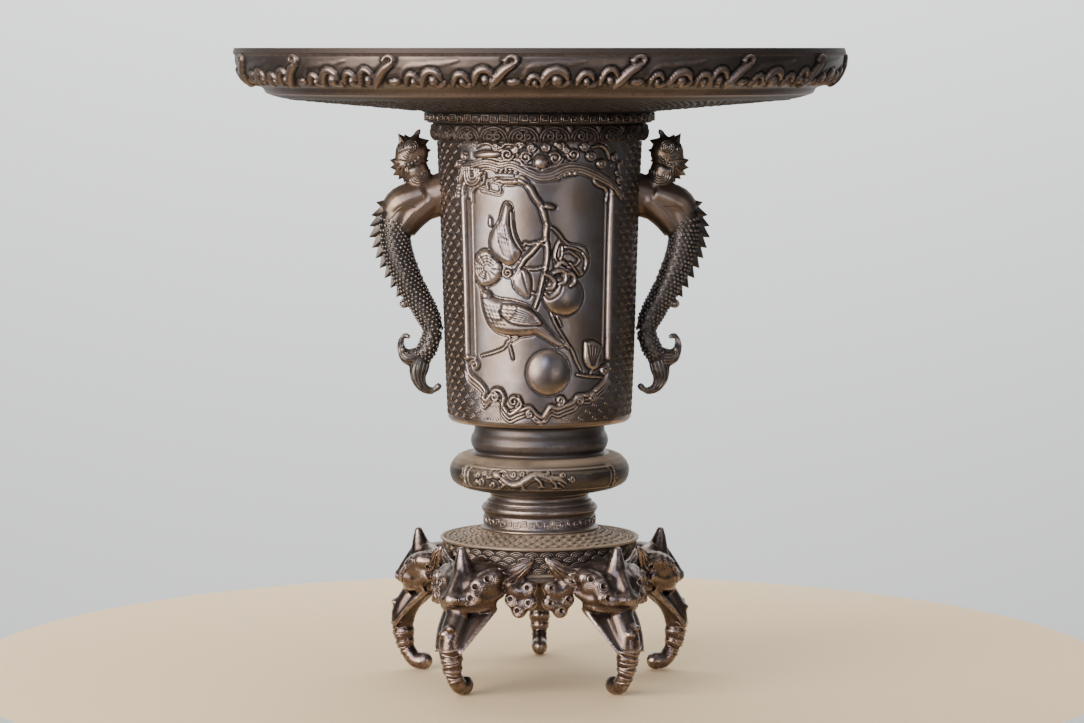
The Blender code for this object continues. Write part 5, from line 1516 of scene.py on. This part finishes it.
def carve_frame(chart):
    """The frame's two upright bands, which turn in at the top, and the small curls outside them."""
    for hand, outer, groove, inner in ((-1.0, 47.6, 43.6, 40.7), (1.0, 44.6, 42.0, 40.1)):
        chart.etch(flat([(hand * groove, 252.0), (hand * groove, 172.0)]), 2.6, 0.9, smooth=False)
        for course, *stroke in (
                ([(outer, 256.0), (outer, 172.0)], 3.4, 1.7, 0.9, 0.5),
                ([(inner, 252.0), (inner, 171.0)], 1.3, 0.9, 0.9),
                ([(outer, 256.0), (outer - 0.6, 260.0), (outer - 4.4, 263.0), (37.0, 265.0), (33.6, 267.0)],
                 2.6, 1.4, 0.7, 0.4),
                ([(inner, 252.0), (40.8, 256.6), (38.6, 259.2), (34.6, 260.6), (32.1, 262.6), (31.6, 266.0)],
                 1.5, 1.1, 0.7, 0.5)):
            chart.stroke(flat([(hand * turn, height) for turn, height in course]), *stroke)
        for turn, height, size in ((50.8, 270.7, 1.7), (50.5, 262.9, 1.7), (53.4, 254.6, 1.5),
                                   (45.4, 274.7, 1.6), (48.9, 266.8, 1.4), (51.6, 258.6, 1.3)):
            centre = on_wall(hand * turn, height)
            chart.stroke(spiral(centre, size * 1.35, 1.3, 60.0, -hand), 0.9, 1.0, 0.8, 0.4)
            chart.oval(centre, size * 0.55, size * 0.55, 1.2)


BORDER = [(-47.7, 168.5), (-46.6, 164.6), (-44.2, 162.2), (-40.4, 160.4), (-36.8, 158.3), (-33.8, 155.2),
          (-35.6, 152.6), (-33.9, 150.3), (-30.1, 153.2), (-27.8, 155.7), (-23.6, 155.6), (-21.6, 151.9),
          (-22.4, 148.0), (-17.7, 143.8), (-12.4, 145.6), (-5.9, 147.3), (-2.1, 144.1), (1.7, 142.4),
          (4.2, 144.6), (6.8, 147.8), (10.6, 146.7), (14.6, 148.0), (18.5, 149.2), (21.2, 150.2),
          (23.9, 152.9), (28.8, 153.2), (33.3, 154.1), (37.1, 156.6), (41.2, 159.1), (44.2, 163.0),
          (44.6, 168.5)]


def carve_border(chart):
    """The cloud border: a leading wave, two echoes below it, and curls on its crests."""
    for drop, width, height in ((0.0, 2.3, 1.7), (2.2, 1.3, 1.1), (4.0, 1.1, 0.8)):
        echo = [(turn * (1.0 + drop * 0.012), max(rise - drop, LOWER_EDGE)) for turn, rise in BORDER]
        chart.stroke(flat(echo), width, height, 0.9, 0.25 if drop else 0.5)
    for turn, height, size, start, hand in ((-41.6, 168.2, 2.9, 180, -1), (-15.4, 150.4, 2.9, 300, 1),
                                            (-27.4, 152.4, 2.3, 90, -1), (12.6, 151.0, 2.4, 250, 1),
                                            (24.6, 150.6, 2.2, 90, -1), (-5.8, 144.0, 1.9, 90, 1),
                                            (33.0, 152.2, 2.2, 120, -1), (41.6, 165.2, 2.3, 0, 1)):
        chart.stroke(spiral(on_wall(turn, height), size, 1.35, start, hand), 1.4, 1.7, 0.8, 0.5)
    chart.stroke(flat([(-12.2, 152.4), (-10.8, 148.6), (-13.7, 146.2), (-17.7, 143.8)]), 1.9, 1.6, 0.7, 0.5)
    chart.stroke(flat([(-49.5, 170.6), (-44.4, 172.2), (-40.0, 171.6)]), 1.7, 1.3, 0.5, 0.4)
    chart.stroke(flat([(47.1, 165.9), (43.0, 167.6), (39.2, 166.3)]), 1.7, 1.3, 0.5, 0.4)


carve_frame(front_map)
carve_border(front_map)
print("frame and border stand up to", round(float(front_map.height.max()), 2), "mm proud")

# %% Front picture: ribbon and clouds


def carve_ribbon(chart):
    """The ribbon over the picture, its beads, and the knot of clouds above it."""
    course = [(-50.0, 262.0), (-46.4, 268.6), (-38.6, 270.2), (-30.3, 271.9), (-21.9, 270.4), (-14.8, 271.3),
              (-6.2, 267.5), (0.5, 265.1), (7.2, 265.9), (14.1, 269.0), (20.2, 269.3), (26.7, 268.0),
              (36.8, 264.0), (45.0, 260.4), (50.3, 256.0)]
    chart.ribbon(flat(course), 4.6, 3, 1.7)
    for turn, height in ((-21.0, 268.1), (-18.3, 268.1), (-15.7, 267.8), (-12.6, 266.6), (-10.1, 265.1),
                         (-7.1, 263.6), (-24.0, 267.9), (10.6, 264.6), (14.1, 266.0), (17.0, 266.6),
                         (20.0, 266.7)):
        chart.oval(on_wall(turn, height), 1.05, 1.0, 1.3, groove=0.4)
    for size in (1.0, 0.62, 0.3):
        less = 1.0 - size
        chart.stroke(flat([(-45.6 + 5.0 * less, 269.2), (-44.4 + 4.4 * less, 262.0 + 3.5 * less),
                           (-39.6, 260.6 + 5.0 * less), (-35.4 - 3.4 * less, 263.2 + 2.4 * less),
                           (-35.2 - 4.0 * less, 268.6)]), 1.25, 1.5, 0.8, 0.5)
    chart.oval(on_wall(-30.0, 276.2), 7.6, 2.0, 1.8, 4.0, groove=0.3)
    chart.oval(on_wall(0.9, 272.4), 3.6, 3.6, 3.0, groove=0.6)
    for turn, height, size, start, hand in ((-17.4, 276.4, 3.2, 0, -1), (-7.2, 275.0, 3.0, 30, 1),
                                            (-10.6, 281.0, 2.3, 0, 1), (-4.2, 280.0, 2.2, 0, -1),
                                            (3.6, 280.2, 2.2, 180, 1), (8.4, 274.6, 3.0, 150, -1),
                                            (11.2, 281.0, 2.4, 180, -1), (18.6, 276.4, 3.1, 180, 1),
                                            (-24.0, 280.6, 2.0, 0, -1), (25.4, 280.4, 2.2, 180, 1),
                                            (14.8, 278.6, 1.7, 90, 1), (-13.4, 278.6, 1.7, 90, -1),
                                            (29.6, 275.6, 2.4, 150, 1), (36.4, 271.6, 2.4, 150, 1)):
        chart.stroke(spiral(on_wall(turn, height), size, 1.5, start, hand), 1.15, 1.8, 0.8, 0.5)
        chart.oval(on_wall(turn, height), 0.9, 0.9, 1.9)
    for points in ([(-11.6, 274.6), (-8.6, 271.2), (-4.0, 270.0), (0.6, 268.4)],
                   [(13.2, 274.6), (10.2, 271.2), (5.6, 270.0), (0.8, 268.2)],
                   [(-36.8, 279.6), (-33.1, 281.6), (-28.1, 282.0), (-25.4, 279.0)],
                   [(30.0, 279.8), (35.4, 280.6), (39.8, 277.8), (41.6, 273.6)],
                   [(-21.6, 279.2), (-18.1, 281.8), (-13.6, 281.6)]):
        chart.stroke(flat(points), 1.2, 1.3, 0.6, 0.4)


carve_ribbon(front_map)
print("with the ribbon and its clouds", round(float(front_map.height.max()), 2), "mm")

# %% Front picture: branch and fruit


def carve_branch(chart):
    """The persimmon branch: trunk, twigs, buds and leaves."""
    chart.stroke(flat([(-24.0, 263.0), (-17.0, 262.4), (-10.4, 262.8), (-5.8, 260.4), (-2.4, 254.8),
                       (1.2, 250.0), (3.2, 243.6), (4.3, 240.2)]), 3.3, 2.2, 0.75, 0.6)
    chart.stroke(flat([(4.3, 240.6), (3.5, 236.0), (4.0, 231.6), (4.6, 226.2), (3.4, 218.2), (2.2, 214.4),
                       (1.0, 209.6), (-0.2, 204.8), (-2.6, 198.6)]), 2.7, 2.0, 0.9, 0.6, tail=0.6)
    chart.oval(on_wall(-8.6, 263.6), 3.4, 1.7, 2.4, -35.0, groove=0.5)
    chart.etch(flat([(-11.0, 265.0), (-8.6, 263.6), (-6.2, 262.0)]), 0.9, 1.0)
    chart.stroke(flat([(-34.7, 259.2), (-29.5, 258.8), (-29.9, 262.4), (-23.6, 262.6), (-21.8, 260.0),
                       (-22.5, 256.4), (-28.2, 257.0), (-34.3, 258.0)]), 1.0, 1.4, 0.9, 0.7)
    chart.stroke(flat([(-21.8, 260.4), (-19.0, 262.6), (-15.0, 263.0)]), 1.5, 1.6, 0.8, 0.4)
    chart.oval(on_wall(5.0, 250.0), 3.2, 1.3, 1.9, -8.0, groove=0.5)
    lines = [([(6.3, 239.6), (8.4, 238.4), (11.1, 235.8), (13.6, 232.6), (17.3, 230.4), (22.0, 229.6),
               (26.4, 228.6)], 1.5, 1.6),
             ([(3.4, 233.2), (0.4, 231.6), (-4.4, 226.7), (-8.6, 223.0), (-11.7, 218.1), (-14.8, 213.2)],
              2.4, 1.9),
             ([(3.4, 230.5), (-1.4, 231.6), (-5.4, 230.8), (-7.9, 231.4), (-9.1, 229.4)], 1.3, 1.4),
             ([(-14.6, 227.6), (-13.5, 224.0), (-11.2, 221.9)], 1.2, 1.4),
             ([(-7.2, 218.4), (-2.0, 218.2), (2.8, 219.4)], 1.3, 1.4),
             ([(1.8, 206.4), (-1.6, 205.4), (-5.4, 206.6)], 1.1, 1.2),
             ([(-37.1, 172.9), (-28.8, 174.9), (-21.8, 177.3), (-17.8, 180.6), (-10.7, 184.0), (-4.5, 184.6)],
              0.95, 1.0),
             ([(-17.8, 179.5), (-16.6, 175.8), (-15.6, 172.0)], 0.95, 1.0),
             ([(2.6, 205.8), (5.6, 198.4), (9.4, 190.2), (14.6, 182.4), (19.4, 176.6), (22.4, 170.6),
               (25.6, 165.6)], 1.15, 1.2),
             ([(4.6, 203.6), (9.0, 196.4), (12.8, 189.0)], 0.9, 0.9),
             ([(22.8, 164.0), (30.1, 162.9), (40.2, 161.9)], 1.3, 1.2),
             ([(31.5, 164.0), (34.4, 168.2), (34.8, 172.0)], 1.1, 1.1),
             ([(10.4, 178.4), (14.6, 179.6), (17.6, 178.0)], 1.3, 1.1)]
    for points, width, height in lines:
        chart.stroke(flat(points), width, height, 0.6, 0.45)


def carve_fruit(chart):
    """The two persimmons, the crown of the upper one, and the leaves and flowers round them."""
    chart.oval(on_wall(5.4, 165.1), 11.4, 11.7, 4.4, 0.0, 0.55, 0.7)
    chart.oval(on_wall(13.9, 204.4), 10.6, 10.0, 3.9, 0.0, 0.55, 0.6)
    chart.form(flat([(8.2, 221.4), (8.4, 226.0), (10.0, 230.6), (14.0, 231.0), (20.0, 230.4), (26.4, 229.0),
                     (29.0, 224.6), (28.6, 219.0), (24.6, 214.6), (19.4, 216.4), (13.8, 219.4)]),
               2.0, 3.0, 0.4)
    for points in ([(11.1, 232.6), (9.4, 229.0), (8.6, 224.6), (10.4, 222.0), (12.4, 225.0), (12.6, 230.0)],
                   [(12.4, 226.1), (16.1, 227.4), (19.6, 225.6), (22.4, 223.0), (20.0, 220.3), (15.6, 221.3)],
                   [(17.0, 221.6), (19.6, 218.2), (22.6, 214.4)],
                   [(24.0, 226.8), (26.6, 222.4), (25.6, 217.4)],
                   [(14.0, 229.6), (18.4, 229.0), (23.4, 227.0)]):
        chart.stroke(flat(points), 1.05, 1.0, 0.6, 0.5, base=1.9)
    for points in ([(2.8, 216.0), (6.0, 214.6), (8.6, 211.6), (7.0, 208.8), (3.6, 208.6)],
                   [(7.6, 216.4), (11.6, 217.8), (14.6, 216.0), (14.2, 212.2), (10.6, 210.6)],
                   [(3.0, 206.2), (5.6, 204.2), (9.4, 206.4), (11.4, 209.8)],
                   [(14.8, 216.2), (18.4, 215.6), (19.8, 212.2), (17.2, 209.8)],
                   [(9.2, 219.6), (12.4, 222.0), (15.0, 220.4)]):
        chart.stroke(flat(points), 2.0, 1.3, 0.6, 0.7, base=2.3)
    chart.form(flat([(-38.4, 225.0), (-34.6, 227.4), (-29.0, 227.2), (-23.4, 223.4), (-21.4, 218.0),
                     (-23.6, 213.0), (-28.4, 209.8), (-34.6, 208.9), (-38.8, 211.4), (-40.0, 217.6)]),
               2.2, 3.4, 0.6)
    for size in (6.8, 5.3, 3.8, 2.3):
        chart.etch(spiral(on_wall(-30.6, 218.2), size, 0.62, 40.0, 1.0, 0.8), 0.7, 0.5)
    for turn in np.linspace(-70.0, 250.0, 11):
        centre = np.array(on_wall(-30.6, 218.4))
        ray = np.array([math.cos(math.radians(turn)), math.sin(math.radians(turn))])
        chart.etch([centre + ray * 2.6, centre + ray * 7.0], 0.55, 0.4, smooth=False)
    chart.form(flat([(-15.6, 213.4), (-14.6, 208.8), (-10.0, 205.0), (-5.9, 203.6), (-4.8, 209.4),
                     (-5.4, 215.0), (-8.6, 218.6), (-12.4, 217.4)]), 2.3, 3.4, 0.6)
    chart.etch(flat([(-9.6, 216.6), (-8.0, 211.0), (-6.4, 205.4)]), 0.8, 0.6)
    chart.stroke(spiral(on_wall(-17.9, 216.4), 2.6, 1.4, 120.0, 1.0), 1.4, 2.5, 0.8, 0.6)
    chart.form(flat([(27.2, 180.6), (33.6, 181.2), (39.6, 177.2), (40.4, 171.0), (35.6, 166.6), (30.4, 167.0),
                     (27.4, 171.6)]), 1.6, 2.0, 0.5)
    for step in range(5):
        chart.etch(flat([(29.0 + 2.2 * step, 179.2 - 0.7 * step), (30.2 + 1.5 * step, 173.6),
                         (31.8 + 0.6 * step, 168.6)]), 0.6, 0.6)


carve_branch(front_map)
carve_fruit(front_map)
print("with the branch and the fruit", round(float(front_map.height.max()), 2), "mm")

# %% Front picture: birds


def feathers(chart, rows, start, step, size, lean):
    """Rows of short engraved strokes, for small feathers."""
    for row in range(rows):
        for place in range(4):
            spot = (start[0] + step[0] * row + place * step[1], start[1] - row * step[2] - place * step[3])
            ahead = (spot[0] + size * math.cos(lean), spot[1] + size * math.sin(lean))
            chart.etch([spot, ahead], 0.55, 0.35, False)


def carve_birds(chart):
    """The upper bird, seen from behind with its neck stretched, and the lower one with its beak up."""
    chart.form(flat([(-21.4, 248.4), (-19.6, 251.6), (-16.8, 251.6), (-15.2, 248.4), (-15.4, 240.8),
                     (-14.2, 235.6), (-11.8, 231.0), (-9.6, 228.2), (-12.4, 222.6), (-17.4, 219.6),
                     (-23.0, 222.0), (-28.4, 226.2), (-29.8, 231.6), (-27.4, 237.6), (-23.6, 242.2)]),
               2.9, 4.6, 0.6)
    chart.stroke(flat([(-15.6, 247.6), (-15.3, 240.8), (-14.0, 235.0), (-11.4, 230.4), (-9.0, 227.4)]),
                 1.3, 1.2, 0.5, 0.6, base=1.3)
    chart.form(flat([(-29.6, 244.8), (-27.6, 243.2), (-27.8, 239.6), (-30.0, 240.4)]), 0.9, 1.0, 0.3)
    for step in range(6):
        chart.etch(flat([(-22.4 + 1.1 * step, 236.0 - 0.6 * step), (-21.6 + 1.1 * step, 230.6 - 0.8 * step),
                         (-19.6 + 1.0 * step, 225.4 - 0.5 * step)]), 0.6, 0.45)
    feathers(chart, 5, on_wall(-24.4, 241.6), (0.4, 1.5, 2.2, 0.35), 1.3, math.radians(-75.0))
    body = flat([(-38.0, 210.6), (-33.6, 208.4), (-29.6, 205.0), (-24.4, 203.0), (-15.0, 201.9),
                 (-6.6, 199.6), (-1.6, 195.4), (2.6, 190.6), (8.4, 184.6), (14.2, 180.2), (10.6, 178.8),
                 (3.6, 182.4), (-2.0, 185.0), (-6.4, 184.2), (-13.4, 183.9), (-20.4, 184.4), (-26.4, 186.2),
                 (-31.6, 190.4), (-34.8, 196.6), (-35.9, 202.4), (-36.2, 206.4)])
    chart.form(body, 3.4, 5.0, 0.7)
    chart.oval(on_wall(-31.6, 204.2), 3.4, 3.0, 3.5, -50.0, 0.6)
    chart.oval(on_wall(-24.4, 194.2), 8.2, 6.4, 4.0, -18.0, 0.7)
    chart.oval(on_wall(-33.4, 206.0), 0.55, 0.55, 3.9)
    chart.form(flat([(-20.6, 200.6), (-12.6, 199.9), (-5.4, 197.6), (-0.6, 193.8), (1.2, 190.6),
                     (-4.4, 189.8), (-11.4, 190.0), (-17.4, 192.0), (-21.4, 195.8)]), 1.3, 1.6, 0.6, base=3.0)
    for step in range(6):
        chart.etch(flat([(-16.0 + 0.8 * step, 192.6 + 1.1 * step), (-8.6 + 0.5 * step, 191.4 + 0.9 * step),
                         (0.2 - 0.6 * step, 190.6 + 0.7 * step)]), 0.6, 0.7)
    feathers(chart, 4, on_wall(-20.2, 200.0), (-0.3, 2.2, 1.9, 0.2), 1.6, math.radians(-30.0))
    feathers(chart, 5, on_wall(-31.0, 199.6), (0.9, 2.0, 2.3, 0.1), 1.2, math.radians(-40.0))
    for step in range(3):
        chart.etch(flat([(0.0 + step, 187.4 + 0.9 * step), (6.0 + step, 183.6 + 0.5 * step),
                         (11.6 + 0.8 * step, 180.0 + 0.3 * step)]), 0.6, 0.6)
    for points in ([(-17.7, 184.4), (-17.4, 181.8), (-19.8, 180.4)],
                   [(-12.6, 184.2), (-13.4, 182.6), (-16.0, 181.6)]):
        chart.stroke(flat(points), 0.8, 1.0, 0.7, 0.3)


SLAB_SUNK = 0.5


def let_in(chart):
    """Sink a picture's two side edges to the core, where the scale net takes over."""
    edge = np.abs(chart.along) / MM_PER_DEGREE
    chart.height -= SLAB_SUNK * np.clip((edge - 50.0) / 5.0, 0.0, 1.0)


carve_birds(front_map)
let_in(front_map)
front_picture = carved_band("front_picture", wall_profile, panel_turns, False, front_map.height, 12, 0.9)
dress(front_picture, BROWN, "brown_bronze")

# %% [markdown]
# The photograph doesn't show the back. It gets the same frame, border and ribbon, and a plainer picture:
# one branch with two persimmons and a leaf, on a coarser mesh.

# %% Back picture
back_profile = even_line(WALL_PROFILE[4:13], 0.8)
back_turns = np.radians(np.linspace(-PANEL_REACH, PANEL_REACH, 145))
back_map = ReliefMap(np.degrees(back_turns) * MM_PER_DEGREE, back_profile[:, 1])
for carve in (carve_frame, carve_border, carve_ribbon):
    carve(back_map)
for points, width, height in (([(20.0, 261.0), (10.0, 247.0), (1.0, 233.0), (2.6, 214.0), (1.6, 196.0)],
                               3.2, 2.2),
                              ([(1.0, 233.0), (-10.0, 231.0), (-24.0, 226.0)], 2.4, 2.0),
                              ([(2.4, 212.0), (9.0, 206.0), (15.0, 204.0)], 1.8, 1.6),
                              ([(1.8, 204.0), (-8.0, 199.0), (-16.0, 190.0)], 1.5, 1.4)):
    back_map.stroke(flat(points), width, height, 0.6, 0.5)
back_map.oval(on_wall(4.8, 185.4), 11.2, 11.2, 4.2, 0.0, 0.55, 0.7)
back_map.oval(on_wall(-20.0, 213.0), 10.0, 9.6, 3.8, 0.0, 0.55, 0.6)
for turn, height, lean in ((13.6, 208.0, -34.0), (-22.0, 228.6, 20.0), (6.0, 199.0, 70.0),
                           (-17.6, 188.0, -50.0)):
    centre = np.array(on_wall(turn, height))
    back_map.oval(centre, 7.2, 3.4, 2.0, lean, groove=0.5)
    ray = 5.6 * np.array([math.cos(math.radians(lean)), math.sin(math.radians(lean))])
    back_map.etch([centre - ray, centre, centre + ray], 0.7, 0.6)
let_in(back_map)
back_picture = carved_band("back_picture", back_profile, back_turns + math.pi, False, back_map.height, 12,
                           0.9)
dress(back_picture, BROWN, "brown_bronze")

# %% [markdown]
# Between the pictures, and under their cloud border, the wall is covered by a net of wave scales: three
# nested arches, in rows that are set half a scale over. A scale is left out on a picture's plain field
# and where its own carving stands.

# %% Side net
NET_COUNT = 38
NET_ROWS = 42
NET_PITCH = 3.4
NET_LOWEST = 139.8
# How far a picture's plain field goes to each side, and how high
FIELD_REACH, FIELD_TOP = 49.0, 268.0
wall_heights, wall_radii = np.array(WALL_PROFILE[4:13])[::-1, 1], np.array(WALL_PROFILE[4:13])[::-1, 0]
border_turns, border_heights = np.array(BORDER).T


def in_picture(turn, height):
    """Whether a place, in degrees from a picture's middle, lies on the picture's field or on its carving."""
    if abs(turn) < FIELD_REACH and np.interp(turn, border_turns, border_heights) - 5.4 < height < FIELD_TOP:
        return True
    if abs(turn) < 33.0 and height > 260.0:
        return True
    if abs(turn) > PANEL_REACH:
        return False
    row = np.argmin(abs(front_map.up[:, 0] - height - 1.6))
    column = np.argmin(abs(front_map.along[0] - turn * MM_PER_DEGREE))
    return front_map.height[row - 3:row + 4, column - 3:column + 4].max() > 0.35


net_spots = []
for row in range(NET_ROWS):
    height = NET_LOWEST + NET_PITCH * row
    for column in range(NET_COUNT):
        turn = 360.0 * (column + 0.5 * (row % 2)) / NET_COUNT
        from_picture = (turn + 90.0) % 180.0 - 90.0
        if in_picture(from_picture, height):
            continue
        depth = SLAB_SUNK * min(max((abs(from_picture) - 50.0) / 5.0, 0.0), 1.0)
        radius = float(np.interp(height + 1.8, wall_heights, wall_radii)) - depth
        net_spots.append(wall_spot(math.radians(turn), radius, height))
net_scale = arch_motif("net scale", (3.95, 2.6, 1.3), 0.80, 0.36, 0.92)
lay_pattern("side_net", net_spots, net_scale, BROWN, "brown_bronze", 0.9, unevenness=0.03)
